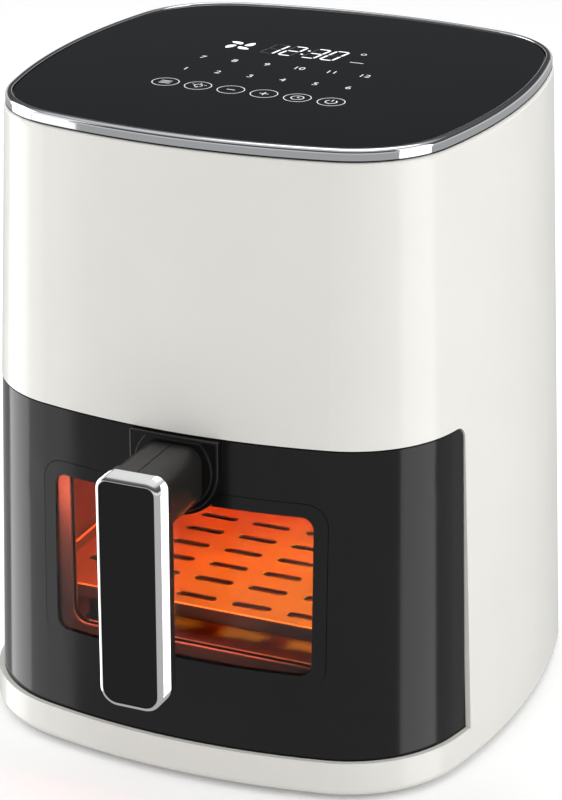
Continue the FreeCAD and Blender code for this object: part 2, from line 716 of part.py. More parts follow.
motor = new_body("motor_case")
revolve(motor, lambda s: outline(s, [
    (6.02, d.motor_bottom), (d.motor_radius - 1.5, d.motor_bottom), (d.motor_radius, d.motor_bottom + 1.5),
    (d.motor_radius, d.motor_bottom + 9), (d.motor_radius - 1.5, d.motor_bottom + 9),
    (d.motor_radius - 1.5, d.motor_top - 9), (d.motor_radius, d.motor_top - 9),
    (d.motor_radius, d.motor_top - 3), (d.motor_radius - 3, d.motor_top - 1.5), (9, d.motor_top - 1.5),
    (9, d.motor_top), (6.02, d.motor_top)]))
for x, y in MOTOR_HOLES:
    cut(motor, "z", d.motor_bottom - 1, d.motor_bottom + 8, lambda s, x=x, y=y: circle(s, x, y, 1.52))
node("motor_case", motor)

bush_parts = []
for index, z in enumerate((d.motor_bottom, d.motor_top - 8), 1):
    outer = cylinder("motor_bush_outer_%d" % index, 0, 0, z, 6.0, 8)
    inner = cylinder("motor_bush_inner_%d" % index, 0, 0, z - 1, d.shaft_radius + 0.05, 10)
    bush_parts.append(boolean("motor_bush_%d" % index, "Cut", outer, inner))
node("motor_bushes", boolean("motor_bushes", "Compound", *bush_parts))
node("motor_screws", boolean("motor_screws", "Compound", *[
    screw("motor_screw_%d" % n, x, y, 252.1, 1.5, 2.7, 1.9, 8) for n, (x, y) in enumerate(MOTOR_HOLES, 1)]))

# Temperature probe and thermal cut-out on the lid.
probe = new_body("temperature_sensor")
revolve(probe, lambda s: outline(s, [
    (0, 206), (1.6, 206), (2.4, 207.2), (2.4, roof_top), (6.5, roof_top), (6.5, roof_top + 2.5),
    (3.4, roof_top + 2.5), (3.4, roof_top + 9), (0, roof_top + 9)]))
probe.Placement = FreeCAD.Placement(V(SENSOR[0], SENSOR[1], 0), FreeCAD.Rotation())
node("temperature_sensor", probe)

cutout = new_body("thermal_cutout")
add(cutout, "z", roof_top, roof_top + 1.2, lambda s: box(s, -84, -56, -58, -44, 3))
add(cutout, "z", roof_top + 1.2, roof_top + 9, lambda s: circle(s, -70, -51, 6.5))
for x in (-74, -67.5):
    add(cutout, "z", roof_top + 8, roof_top + 15, lambda s, x=x: box(s, x, x + 1.5, -53, -49))
node("thermal_cutout", cutout)

# Interior lamp in a cup behind the right-hand wall.
cup = new_body("lamp_housing")
add(cup, "x", d.liner_half, 118.5, lambda s: box(s, -46, -6, 186, 220, 4))
cut(cup, "x", d.liner_half - 1, 117, lambda s: box(s, -44, -8, 188, 218, 3))
node("lamp_housing", cup)
lens = new_body("lamp_lens")
add(lens, "x", d.liner_half - d.liner_sheet - 2.0, d.liner_half - d.liner_sheet,
    lambda s: box(s, -43, -9, 189, 217, 4))
node("lamp_lens", lens)
bulb_base = cylinder("bulb_base", 112.2, -44, 203, 4.6, 7, "y")
bulb_glass = cylinder("bulb_glass", 112.2, -37.5, 203, 3.6, 20, "y")
node("lamp_bulb", boolean("lamp_bulb", "MultiFuse", bulb_base, bulb_glass))

# Drawer switch on the rear wall.
SWITCH = (60, 120)
switch = new_body("switch_case")
add(switch, "y", d.liner_half, 117.2, lambda s: box(s, 50, 70, 110, 130, 1.5))
cut(switch, "y", 100, 114.6, lambda s: circle(s, SWITCH[0], SWITCH[1], 2.6))
for x in (53, 62):
    add(switch, "z", 104, 111, lambda s, x=x: box(s, x, x + 5, 110.5, 111.5))
node("switch_case", switch)

# Deck: tray with posts for both boards, hung in the top of the shell.
deck = new_body("top_deck")
add(deck, "z", d.shell_top, d.deck_top, lambda s: plan(s, d.glass_inset + 0.3))
add(deck, "z", 304, d.shell_top + 1, lambda s: plan(s, 23.6))
cut(deck, "z", 306.4, d.deck_top + 1, lambda s: plan(s, 26))
BOARD_POSTS = [(-49, -49), (49, -49), (-49, 47), (49, 47)]
for x, y in BOARD_POSTS:
    add(deck, "z", 305, d.board_height, lambda s, x=x, y=y: circle(s, x, y, 3.6))
SUPPLY_POSTS = [(-44, 50), (44, 50), (-44, 96), (44, 96)]
for x, y in SUPPLY_POSTS:
    add(deck, "z", 298.6, 305, lambda s, x=x, y=y: circle(s, x, y, 3.6))
for x, y in BOARD_POSTS:
    cut(deck, "z", d.board_height - 3.2, d.board_height + 1, lambda s, x=x, y=y: circle(s, x, y, 1.45))
node("top_deck", deck)

board = new_body("touch_board")
add(board, "z", d.board_height, d.board_height + 1.6, lambda s: box(s, -56, 56, -55, 53, 2))
for x, y in BOARD_POSTS:
    cut(board, "z", d.board_height - 1, d.board_height + 3, lambda s, x=x, y=y: circle(s, x, y, 1.6))
node("touch_board", board)
board_top = d.board_height + 1.6
board_screws = []
for n, (x, y) in enumerate(BOARD_POSTS, 1):
    item = screw("board_screw_%d" % n, 0, 0, 0, 1.4, 2.8, 1.8, 4.4)
    flip = FreeCAD.Rotation(V(1, 0, 0), 180)
    item.Placement = FreeCAD.Placement(V(x, y, board_top.value + 1.8), flip)
    board_screws.append(item)
node("board_screws", boolean("board_screws", "Compound", *board_screws))
node("touch_pads", boolean("touch_pads", "Compound", *[
    cylinder("touch_pad_%d" % n, -43.3 + 17.32 * n, -41, board_top, 5.2, d.deck_top - board_top)
    for n in range(6)]))
module = new_body("display_module")
add(module, "z", board_top, d.deck_top, lambda s: box(s, -46, 32, 20, 47, 1.5))
node("display_module", module)

# Supply board under the deck.
supply = new_body("power_board")
add(supply, "z", 297, 298.6, lambda s: box(s, -50, 50, 44, 102, 2))
node("power_board", supply)
node("power_parts", boolean("power_parts", "Compound",
     brick("relay", -44, -24, 58, 74, 282, 297),
     brick("transformer", -14, 12, 56, 78, 278, 297),
     cylinder("capacitor", 30, 66, 281, 7.5, 16),
     brick("terminals", -38, 2, 86, 95, 286, 297),
     brick("heat_sink", 18, 44, 86, 92, 279, 297)))

# Glass top and the bright ring round it.
ring = new_body("trim_ring")
add(ring, "z", d.shell_top, d.ring_top, lambda s: plan(s, d.ring_inset))
cut(ring, "z", d.shell_top - 1, d.ring_top + 1, lambda s: plan(s, d.glass_inset - 0.25))


soften(ring, "Fillet", 2.2, lambda p: level(d.ring_top.value)(p) and outside(p))
soften(ring, "Fillet", 0.7, lambda p: level(d.ring_top.value)(p))
node("trim_ring", ring)

glass = new_body("control_glass")
add(glass, "z", d.deck_top, d.glass_top, lambda s: plan(s, d.glass_inset))
soften(glass, "Chamfer", 0.5, level(d.glass_top.value))
node("control_glass", glass)

# Rear vent: louvres that follow the bowed rear wall, a little proud of it.
vent_block = new_body("vent_block")
add(vent_block, "y", 90, 150, lambda s: box(
    s, 0.3 - d.vent_half, d.vent_half - 0.3, d.vent_bottom, d.vent_top, 0))
louvre = cut(vent_block, "y", 80, 160, lambda s: box(
    s, 4.5 - d.vent_half, d.vent_half - 4.5, d.vent_bottom + 3.5, d.vent_bottom + 7.5, 1.9))
row(vent_block, louvre, "Z", 36.6, 7)
vent_outside = new_body("vent_outside")
loft(vent_outside, "Additive", 225, body_inset(Size(225)) - 1.4, 295, body_inset(Size(295)) - 1.4)
vent_inside = new_body("vent_inside")
loft(vent_inside, "Additive", 225, body_inset(Size(225)) + 4.5, 295, body_inset(Size(295)) + 4.5)
vent_face = boolean("vent_face", "Common", vent_block, vent_outside)
node("rear_vent", boolean("rear_vent", "Cut", vent_face, vent_inside))

# Cord gland: empty, with a blind bore where the cord would enter.
gland = new_body("cord_gland")
seat = d.gland_seat
revolve(gland, lambda s: outline(s, [
    (0, -8), (6.4, -8), (6.94, -7), (6.94, 0), (10.5, 0), (10.5, 1.6), (9.8, 2.2), (6.9, 2.2), (6.9, 3.6),
    (6.0, 3.6), (6.0, 4.6), (6.7, 4.6), (6.7, d.gland_length - 0.6), (6.1, d.gland_length),
    (d.cord_radius, d.gland_length), (d.cord_radius, 0.4), (0, 0.4)]))
gland.Placement = FreeCAD.Placement(V(0, 0, 0), FreeCAD.Rotation(V(1, 0, 0), -90))
drive(gland, "Placement.Base.y", seat)
drive(gland, "Placement.Base.z", d.gland_height)
node("cord_gland", gland)

# Drawer front: tapered wrap of the front half, with a window and a flush lens seat.
panel_low = d.opening_bottom + d.panel_gap
panel_high = d.opening_top - d.panel_gap
panel_rear = d.opening_back - d.panel_gap
core_low = panel_low + 2.6
core_high = panel_high - 3.0
panel = new_body("panel_block")
loft(panel, "Additive", panel_low, panel_inset(panel_low), panel_high, panel_inset(panel_high))
loft(panel, "Subtractive", core_low, panel_inset(core_low) + d.panel_wall,
     core_high, panel_inset(core_high) + d.panel_wall)
cut(panel, "z", 0, 200, lambda s: plan(s, panel_inset(panel_high) + d.panel_flange))
cut(panel, "z", 0, 200, lambda s: box(s, -200, 200, panel_rear, 200))
# Upper rear corners of the panel follow the rounded opening.
cut(panel, "x", -200, 200, lambda s: corner_cut(
    s, panel_rear, panel_high, d.opening_corner - d.panel_gap))

# The window is a rounded opening that keeps clear of the handle boss.
BOSS_TOP = 200.0


def boss_outline(sketch, extra, top):
    """An upright strip with a round lower end, around the handle."""
    radius = d.boss_radius + extra
    rv, mv, tv = radius.value, d.boss_middle.value, as_size(top).value
    half_ring = Part.ArcOfCircle(Part.Circle(V(0, mv, 0), V(0, 0, 1), rv), math.pi, 2 * math.pi)
    end = sketch.addGeometry(half_ring)
    right = sketch.addGeometry(Part.LineSegment(V(rv, mv, 0), V(rv, tv, 0)))
    over = sketch.addGeometry(Part.LineSegment(V(rv, tv, 0), V(-rv, tv, 0)))
    left = sketch.addGeometry(Part.LineSegment(V(-rv, tv, 0), V(-rv, mv, 0)))
    sketch.addConstraint(Sketcher.Constraint("Tangent", end, 2, right, 1))
    sketch.addConstraint(Sketcher.Constraint("Coincident", right, 2, over, 1))
    sketch.addConstraint(Sketcher.Constraint("Coincident", over, 2, left, 1))
    sketch.addConstraint(Sketcher.Constraint("Tangent", left, 2, end, 1))
    sketch.addConstraint(Sketcher.Constraint("Vertical", right))
    sketch.addConstraint(Sketcher.Constraint("Horizontal", over))
    sketch.addConstraint(Sketcher.Constraint("PointOnObject", end, 3, -2))
    bind(sketch, radius, "Radius", end)
    bind(sketch, d.boss_middle, "DistanceY", -1, 1, end, 3)
    bind(sketch, top, "DistanceY", -1, 1, over, 1)


def window_block(label, grow, floor_grow, corner, clear):
    """A block through the front in the shape of the window, grown by a border."""
    body = new_body(label)
    add(body, "y", -170, -70, lambda s: box(
        s, -d.window_half - grow, d.window_half + grow, d.window_bottom - floor_grow, d.window_top + grow, corner))
    cut(body, "y", -180, -60, lambda s: boss_outline(s, clear, BOSS_TOP))
    return body


def panel_layer(label, outer, inner):
    """A thin tapered layer that follows the drawer front between two depths."""
    body = new_body(label)
    low, high = panel_low - 5, panel_high + 5
    loft(body, "Additive", low, panel_inset(low) + outer, high, panel_inset(high) + outer)
    loft(body, "Subtractive", low, panel_inset(low) + inner, high, panel_inset(high) + inner)
    return body


cut(panel, "y", -170, d.boss_back, lambda s: boss_outline(s, 0.15, panel_high + 5))
SCREWS = [(-8, 164), (8, 164)]
for x, z in SCREWS:
    cut(panel, "y", -140, -110, lambda s, x=x, z=z: circle(s, x, z, 2.2))
    cut(panel, "y", -124.6, -110, lambda s, x=x, z=z: circle(s, x, z, 4.8))
opened = boolean("panel_opened", "Cut", panel, window_block("window_tool", Size(0), 0, d.window_corner, 2.0))
seat_tool = boolean("lens_seat", "Common",
                    window_block("lens_tool", d.lens_border, d.lens_border, d.window_corner + 5, 2.0),
                    panel_layer("lens_layer", -3, d.lens_thickness + 0.04))
node("drawer_front", boolean("drawer_front", "Cut", opened, seat_tool))
node("window_lens", boolean("window_lens", "Common",
                            window_block("lens_block", d.lens_border - 0.25, d.lens_border,
                                         d.window_corner + 4.8, 2.25),
                            panel_layer("lens_sheet", 0.0, d.lens_thickness)))

# Core: the moulding behind the drawer front that carries the pan.
core = new_body("core_block")
fit = d.panel_wall + 0.3
loft(core, "Additive", core_low, panel_inset(core_low) + fit, core_high, panel_inset(core_high) + fit)
cut(core, "z", 0, 200, lambda s: box(s, -200, 200, panel_rear - 1.5, 200))
rim_half = d.pan_half + d.pan_rim + 0.5
rim_corner = d.pan_corner + d.pan_rim + 0.5
cut(core, "z", 0, 200, lambda s: box(s, -rim_half, rim_half, -rim_half, 60, rim_corner))
add(core, "z", core_low, d.pan_bottom, lambda s: box(s, -60, 60, -108, -78))
cut(core, "y", -150, -90, lambda s: box(s, -76.5, 76.5, 50.5, 155.5, 8))
hollow = new_body("core_hollow")
loft(hollow, "Additive", core_low + 2.4, panel_inset(core_low) + fit - 2,
     core_high - 2.4, panel_inset(core_high) + fit - 2)
cut(hollow, "z", 0, 200, lambda s: box(s, -200, 200, panel_rear - 4, 200))
cut(hollow, "z", 0, 200, lambda s: box(
    s, -rim_half - 2.4, rim_half + 2.4, -rim_half - 2.4, 60, rim_corner + 2.4))
cut(hollow, "y", -180, -90, lambda s: box(s, -79, 79, 48, 158, 10))
node("drawer_core", boolean("drawer_core", "Cut", core, hollow))

# Pan: pressed sheet with a rolled rim and a window in its front wall.
pan = new_body("pan")
add(pan, "z", d.pan_bottom, d.pan_top, lambda s: box(
    s, -d.pan_half, d.pan_half, -d.pan_half, d.pan_half, d.pan_corner))
inner_half = d.pan_half - d.pan_wall
cut(pan, "z", d.pan_bottom + d.pan_wall, d.pan_top + 1, lambda s: box(
    s, -inner_half, inner_half, -inner_half, inner_half, d.pan_corner - d.pan_wall))
soften(pan, "Fillet", 5.5, level(d.pan_bottom.value + d.pan_wall.value))
soften(pan, "Fillet", 7.0, level(d.pan_bottom.value))
outer_half = d.pan_half + d.pan_rim
rim = add(pan, "z", d.pan_top - d.pan_wall, d.pan_top, lambda s: (
    box(s, -outer_half, outer_half, -outer_half, outer_half, d.pan_corner + d.pan_rim),
    box(s, -inner_half, inner_half, -inner_half, inner_half, d.pan_corner - d.pan_wall)))
cut(pan, "y", -110, -90, lambda s: box(s, -69, 69, 58, 148, 8))
node("pan", pan)

pane = new_body("pan_glass")
add(pane, "y", -d.pan_half - 3, -d.pan_half, lambda s: box(s, -71.6, 71.6, 54.8, 151.2, 9))
node("pan_glass", pane)

holder = new_body("pan_glass_frame")
add(holder, "y", -d.pan_half - 4.2, -d.pan_half - 3, lambda s: (
    box(s, -75.5, 75.5, 51.5, 154.5, 7), box(s, -69, 69, 58, 148, 8)))
add(holder, "z", 151.4, 152.6, lambda s: box(s, -60, 60, -d.pan_half - 3.5, -d.pan_half))
add(holder, "z", 53.4, 54.6, lambda s: box(s, -60, 60, -d.pan_half - 3.5, -d.pan_half))
node("pan_glass_frame", holder)

def boss_step(sketch):
    """A disc on the boss, cut level under the upper edge of the panel."""
    height = panel_high - 1.5
    rv, mv, tv = d.boss_step.value, d.boss_middle.value, height.value
    reach = math.sqrt(rv ** 2 - (tv - mv) ** 2)
    start = math.atan2(tv - mv, -reach)
    stop = math.atan2(tv - mv, reach) + 2 * math.pi
    disc = sketch.addGeometry(Part.ArcOfCircle(Part.Circle(V(0, mv, 0), V(0, 0, 1), rv), start, stop))
    over = sketch.addGeometry(Part.LineSegment(V(reach, tv, 0), V(-reach, tv, 0)))
    sketch.addConstraint(Sketcher.Constraint("Coincident", disc, 2, over, 1))
    sketch.addConstraint(Sketcher.Constraint("Coincident", over, 2, disc, 1))
    sketch.addConstraint(Sketcher.Constraint("Horizontal", over))
    sketch.addConstraint(Sketcher.Constraint("PointOnObject", disc, 3, -2))
    bind(sketch, d.boss_step, "Radius", disc)
    bind(sketch, d.boss_middle, "DistanceY", -1, 1, disc, 3)
    bind(sketch, height, "DistanceY", -1, 1, over, 1)


# Handle: boss on the panel, two black halves, a bright frame and an inlay.
boss = new_body("handle_boss")
add(boss, "y", d.boss_front, d.boss_back, lambda s: boss_outline(s, 0.0, panel_high))
soften(boss, "Fillet", 0.9, lambda p: all(abs(q.y - d.boss_front.value) < 1e-4 for q in p))
add(boss, "y", d.arm_root, d.boss_front + 1, lambda s: boss_step(s))
for x, z in SCREWS:
    cut(boss, "y", -140, -120, lambda s, x=x, z=z: circle(s, x, z, 2.1))
node("handle_boss", boss)



def grip_outline(sketch, inset):
    """The outline of the grip, with tighter upper than lower corners, moved in by an inset."""
    half_grip = d.grip_half - inset
    low, high = d.grip_bottom + inset, d.grip_top - inset
    outline(sketch, [
        (-half_grip, low, 9 - as_size(inset)), (half_grip, low, 9 - as_size(inset)),
        (half_grip, high, 6 - as_size(inset)), (-half_grip, high, 6 - as_size(inset))])


def gusset(sketch, radius):
    """A hollow curve between the underside of the arm and the back of the grip."""
    y, z = d.grip_back - 3, d.arm_bottom + 3
    yv, zv = d.grip_back.value, d.arm_bottom.value
    spots = [V(yv + radius, zv, 0), V(yv + radius, z.value, 0), V(y.value, z.value, 0),
             V(y.value, zv - radius, 0), V(yv, zv - radius, 0)]
    lines = [sketch.addGeometry(Part.LineSegment(spots[n], spots[n + 1])) for n in range(4)]
    curve, first = bend(sketch, V(yv + radius, zv - radius, 0), radius, spots[0], spots[4])
    sketch.addConstraint(Sketcher.Constraint("Coincident", curve, first, lines[0], 1))
    for n in range(3):
        sketch.addConstraint(Sketcher.Constraint("Coincident", lines[n], 2, lines[n + 1], 1))
    sketch.addConstraint(Sketcher.Constraint("Coincident", lines[3], 2, curve, 3 - first))
    for n, kind in enumerate(("Vertical", "Horizontal", "Vertical", "Horizontal")):
        sketch.addConstraint(Sketcher.Constraint(kind, lines[n]))
    sketch.addConstraint(Sketcher.Constraint("Vertical", curve, 3, curve, first))
    sketch.addConstraint(Sketcher.Constraint("Horizontal", curve, 3, curve, 3 - first))
    bind(sketch, radius, "Radius", curve)
    bind(sketch, d.grip_back + radius, "DistanceX", -1, 1, curve, 3)
    bind(sketch, d.arm_bottom - radius, "DistanceY", -1, 1, curve, 3)
    bind(sketch, z, "DistanceY", -1, 1, lines[1], 1)
    bind(sketch, y, "DistanceX", -1, 1, lines[2], 1)


grip = new_body("grip_block")
add(grip, "y", d.grip_joint, d.grip_back, lambda s: grip_outline(s, 0.25))
soften(grip, "Fillet", 2.6, lambda p: all(abs(q.y - d.grip_back.value) < 1e-4 for q in p))
add(grip, "y", d.grip_back - 4, d.arm_root, lambda s: box(
    s, -d.arm_half, d.arm_half, d.arm_bottom, d.grip_top - 0.25, 7.5))
add(grip, "x", -9, 9, lambda s: gusset(s, 14))
add(grip, "y", d.grip_front + 1.9, d.grip_joint + 1, lambda s: box(
    s, 3.4 - d.grip_half, d.grip_half - 3.4, d.grip_bottom + 4.4, d.grip_top - 4, 4))
for x, z in SCREWS:
    cut(grip, "y", -146, -120, lambda s, x=x, z=z: circle(s, x, z, 2.04))
seam = d.grip_top - 0.25
cut(grip, "y", d.grip_joint, d.arm_root + 5, lambda s: outline(s, [
    (-0.35, seam + 0.2), (0.0, seam - 0.55), (0.35, seam + 0.2)]))
node("handle_left", boolean("handle_left", "Common", grip, brick("left_side", -30, 0, -200, -100, 40, 200)))
node("handle_right", boolean("handle_right", "Common", grip, brick("right_side", 0, 30, -200, -100, 40, 200)))

bezel = new_body("handle_bezel")
add(bezel, "y", d.grip_front, d.grip_joint, lambda s: grip_outline(s, 0))
soften(bezel, "Fillet", 1.5, lambda p: all(abs(q.y - d.grip_front.value) < 1e-4 for q in p))
cut(bezel, "y", d.grip_front - 5, d.grip_joint + 5, lambda s: box(
    s, 3.3 - d.grip_half, d.grip_half - 3.3, d.grip_bottom + 4.3, d.grip_top - 3.9, 4.1))
cut(bezel, "y", d.grip_front - 5, d.grip_front + 1.9, lambda s: grip_outline(s, d.bezel_rim))
node("handle_bezel", bezel)

inlay = new_body("handle_inlay")
add(inlay, "y", d.grip_front + 0.25, d.grip_front + 1.9, lambda s: grip_outline(s, d.bezel_rim + 0.12))
soften(inlay, "Chamfer", 0.3, lambda p: all(abs(q.y - d.grip_front.value - 0.25) < 1e-4 for q in p))
node("handle_inlay", inlay)

handle_screws = []
for n, (x, z) in enumerate(SCREWS, 1):
    item = screw("handle_screw_%d" % n, 0, 0, 0, 2.0, 4.0, 2.6, 20)
    item.Placement = FreeCAD.Placement(V(x, -122.0, z), FreeCAD.Rotation(V(1, 0, 0), 90))
    handle_screws.append(item)
node("handle_screws", boolean("handle_screws", "Compound", *handle_screws))

# Crisper: perforated tray on four legs with soft caps.
crisper = new_body("crisper_plate")
half = d.crisper_half
add(crisper, "z", d.crisper_floor, d.crisper_top, lambda s: box(s, -half, half, -half, half, 23))
cut(crisper, "z", d.crisper_floor + 1.5, d.crisper_top + 1, lambda s: box(
    s, 1.6 - half, half - 1.6, 1.6 - half, half - 1.6, 21.4))
LEGS_AT = [(-72, -72), (72, -72), (-72, 72), (72, 72)]
for x, y in LEGS_AT:
    add(crisper, "z", 42, d.crisper_floor + 1, lambda s, x=x, y=y: circle(s, x, y, 4.5))


def slot_row(sketch, y, columns):
    for x in columns:
        box(sketch, x - 10.5, x + 10.5, y - 2.6, y + 2.6, 2.5)


slots = cut(crisper, "z", 60, 72, lambda s: slot_row(s, -54, (-75, -45, -15, 15, 45, 75)))
row(crisper, slots, "Y", 108, 7)
slots = cut(crisper, "z", 60, 72, lambda s: slot_row(s, -74, (-45, -15, 15, 45)))
row(crisper, slots, "Y", 148, 2)
node("crisper_plate", crisper)

caps = []
for n, (x, y) in enumerate(LEGS_AT, 1):
    cap = new_body("crisper_cap_%d" % n)
    revolve(cap, lambda s: outline(s, [
        (0, 33.8), (5.0, 33.8), (6.2, 35.2), (6.2, 46), (4.6, 46), (4.6, 42), (0, 42)]))
    cap.Placement = FreeCAD.Placement(V(x, y, 0), FreeCAD.Rotation())
    caps.append(cap)
node("crisper_bumpers", boolean("crisper_bumpers", "Compound", *caps))

# Fan rotor: shaft, fan in the chamber, cooling fan above the lid and nut.
shaft = new_body("rotor_shaft")
revolve(shaft, lambda s: outline(s, [
    (0, 207), (d.shaft_radius - 0.6, 207), (d.shaft_radius, 207.8), (d.shaft_radius, 292.4),
    (d.shaft_radius - 0.6, 293), (0, 293)]))
node("rotor_shaft", shaft)


def fan(label, disc_low, hub_low, hub_high, blade_low, blade_high):
    """A disc with a hub and leaning radial blades."""
    body = new_body(label)
    bore = d.shaft_radius + 0.02
    disc = [(d.fan_radius, disc_low), (d.fan_radius, disc_low + 1.2)]
    if hub_low < disc_low:
        profile = [(bore, hub_low), (8, hub_low), (8, disc_low)] + disc + [(bore, disc_low + 1.2)]
    else:
        profile = [(bore, disc_low)] + disc + [(8, disc_low + 1.2), (8, hub_high), (bore, hub_high)]
    revolve(body, lambda s: outline(s, profile))
    blade = add(body, "z", blade_low, blade_high, lambda s: outline(s, [
        (15, 3.0), (49.5, -3.0), (49.5, -1.7), (15, 4.3)]))
    repeat(body, blade, 12)
    return body


node("convection_fan", fan("convection_fan", 224.0, 214.0, 225.2, 214.0, 224.5))
node("cooling_fan", fan("cooling_fan", 242.0, 242.0, 250.4, 242.6, 250.4))
nut = new_body("fan_nut")
add(nut, "z", 209, 214, lambda s: outline(s, [
    (5.2 * math.cos(math.radians(a)), 5.2 * math.sin(math.radians(a))) for a in range(10, 370, 60)]))
cut(nut, "z", 200, 220, lambda s: circle(s, 0, 0, d.shaft_radius + 0.02))
node("fan_nut", nut)

# Switch plunger that the pan presses.
plunger = new_body("switch_plunger")
revolve(plunger, lambda s: outline(s, [
    (0, 0), (1.3, 0), (2.5, 1.0), (2.5, 12.0), (0, 12.0)]))
plunger.Placement = FreeCAD.Placement(V(SWITCH[0], 0, SWITCH[1]), FreeCAD.Rotation(V(1, 0, 0), -90))
drive(plunger, "Placement.Base.y", d.pan_half + 0.4)
node("switch_plunger", plunger)

# Check every object and piece, then hand the pieces out.
doc.recompute()
faults = [item.Name for item in doc.Objects if "Invalid" in item.State or "Error" in item.State]
if faults:
    raise RuntimeError("objects with errors: " + ", ".join(faults))
for item in nodes:
    if not item.Shape.isValid() or not item.Shape.Solids:
        raise RuntimeError("piece without a sound solid: " + item.Label)

# The origin goes to the table under the middle of the whole footprint, from the handle to the cord gland.
footprint_middle = (d.grip_front.value + d.gland_seat.value + d.gland_length.value) / 2
to_origin = V(0, -footprint_middle, 0)
os.makedirs("parts", exist_ok=True)
for item in nodes:
    item.Shape.translated(to_origin).exportStep("parts/%s.step" % item.Label)
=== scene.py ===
"""Looks, light and camera for the countertop air fryer."""
import math

import bmesh
import bpy
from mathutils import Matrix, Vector


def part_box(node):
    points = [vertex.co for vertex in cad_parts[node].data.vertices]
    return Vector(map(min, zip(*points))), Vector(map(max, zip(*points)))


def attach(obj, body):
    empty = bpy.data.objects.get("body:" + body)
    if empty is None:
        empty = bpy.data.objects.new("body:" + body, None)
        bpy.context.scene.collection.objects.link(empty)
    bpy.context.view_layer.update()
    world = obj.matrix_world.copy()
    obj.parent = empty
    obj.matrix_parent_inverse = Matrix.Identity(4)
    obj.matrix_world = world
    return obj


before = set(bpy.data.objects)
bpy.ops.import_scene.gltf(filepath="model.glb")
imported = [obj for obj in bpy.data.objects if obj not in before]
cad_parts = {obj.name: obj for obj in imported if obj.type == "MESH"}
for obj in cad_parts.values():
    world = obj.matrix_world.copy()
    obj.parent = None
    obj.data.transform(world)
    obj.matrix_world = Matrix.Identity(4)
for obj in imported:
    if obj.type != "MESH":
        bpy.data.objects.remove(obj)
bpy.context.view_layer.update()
scene = bpy.context.scene
scene.view_settings.view_transform = "Standard"

MM = 0.001
glass_low, glass_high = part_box("control_glass")
body_middle = (glass_low + glass_high) / 2
roof_low, roof_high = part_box("chamber_roof")


# ---------------------------------------------------------------- materials
GRAIN_DEPTH = 0.4 * MM


def surface(name, colour, rough, metallic=0.0, mottle=0.04, mottle_scale=18.0,
            rough_spread=0.04, grain=900.0, bump=0.02, edge=0.0, **sockets):
    """A procedural finish: faint mottling of the colour, uneven gloss, a fine grain and softened edges."""
    material = bpy.data.materials.new(name)
    material.use_nodes = True
    tree = material.node_tree
    shader = tree.nodes["Principled BSDF"]
    place = tree.nodes.new("ShaderNodeTexCoord")

    patches = tree.nodes.new("ShaderNodeTexNoise")
    patches.inputs["Scale"].default_value = mottle_scale
    patches.inputs["Detail"].default_value = 4.0
    tree.links.new(place.outputs["Object"], patches.inputs["Vector"])

    tint = tree.nodes.new("ShaderNodeValToRGB")
    low, high = tint.color_ramp.elements
    low.position, high.position = 0.3, 0.7
    low.color = [*(c * (1.0 - mottle) for c in colour), 1.0]
    high.color = [*(min(1.0, c * (1.0 + mottle)) for c in colour), 1.0]
    tree.links.new(patches.outputs["Fac"], tint.inputs["Fac"])
    tree.links.new(tint.outputs["Color"], shader.inputs["Base Color"])

    gloss = tree.nodes.new("ShaderNodeMapRange")
    gloss.inputs["To Min"].default_value = max(0.0, rough - rough_spread)
    gloss.inputs["To Max"].default_value = rough + rough_spread
    tree.links.new(patches.outputs["Fac"], gloss.inputs["Value"])
    tree.links.new(gloss.outputs["Result"], shader.inputs["Roughness"])

    fine = tree.nodes.new("ShaderNodeTexNoise")
    fine.inputs["Scale"].default_value = grain
    fine.inputs["Detail"].default_value = 3.0
    tree.links.new(place.outputs["Object"], fine.inputs["Vector"])
    relief = tree.nodes.new("ShaderNodeBump")
    relief.inputs["Strength"].default_value = bump
    relief.inputs["Distance"].default_value = GRAIN_DEPTH
    tree.links.new(fine.outputs["Fac"], relief.inputs["Height"])
    tree.links.new(relief.outputs["Normal"], shader.inputs["Normal"])
    if edge:
        rounding = tree.nodes.new("ShaderNodeBevel")
        rounding.samples = 8
        rounding.inputs["Radius"].default_value = edge
        tree.links.new(rounding.outputs["Normal"], relief.inputs["Normal"])

    shader.inputs["Metallic"].default_value = metallic
    for socket, value in sockets.items():
        shader.inputs[socket.replace("_", " ")].default_value = value
    return material


def maths(tree, operation, first, second):
    """A maths node between two values; each is a number or the socket that it comes from."""
    node = tree.nodes.new("ShaderNodeMath")
    node.operation = operation
    for socket, value in zip(node.inputs, (first, second)):
        if isinstance(value, bpy.types.NodeSocket):
            tree.links.new(value, socket)
        else:
            socket.default_value = value
    return node.outputs[0]


def clear(name, colour, rough, ior=1.46):
    """Clear glass with a faint tint and slight unevenness."""
    material = surface(name, colour, rough, mottle=0.02, rough_spread=0.004, grain=60.0, bump=0.004)
    shader = material.node_tree.nodes["Principled BSDF"]
    shader.inputs["Transmission Weight"].default_value = 1.0
    shader.inputs["IOR"].default_value = ior
    return material


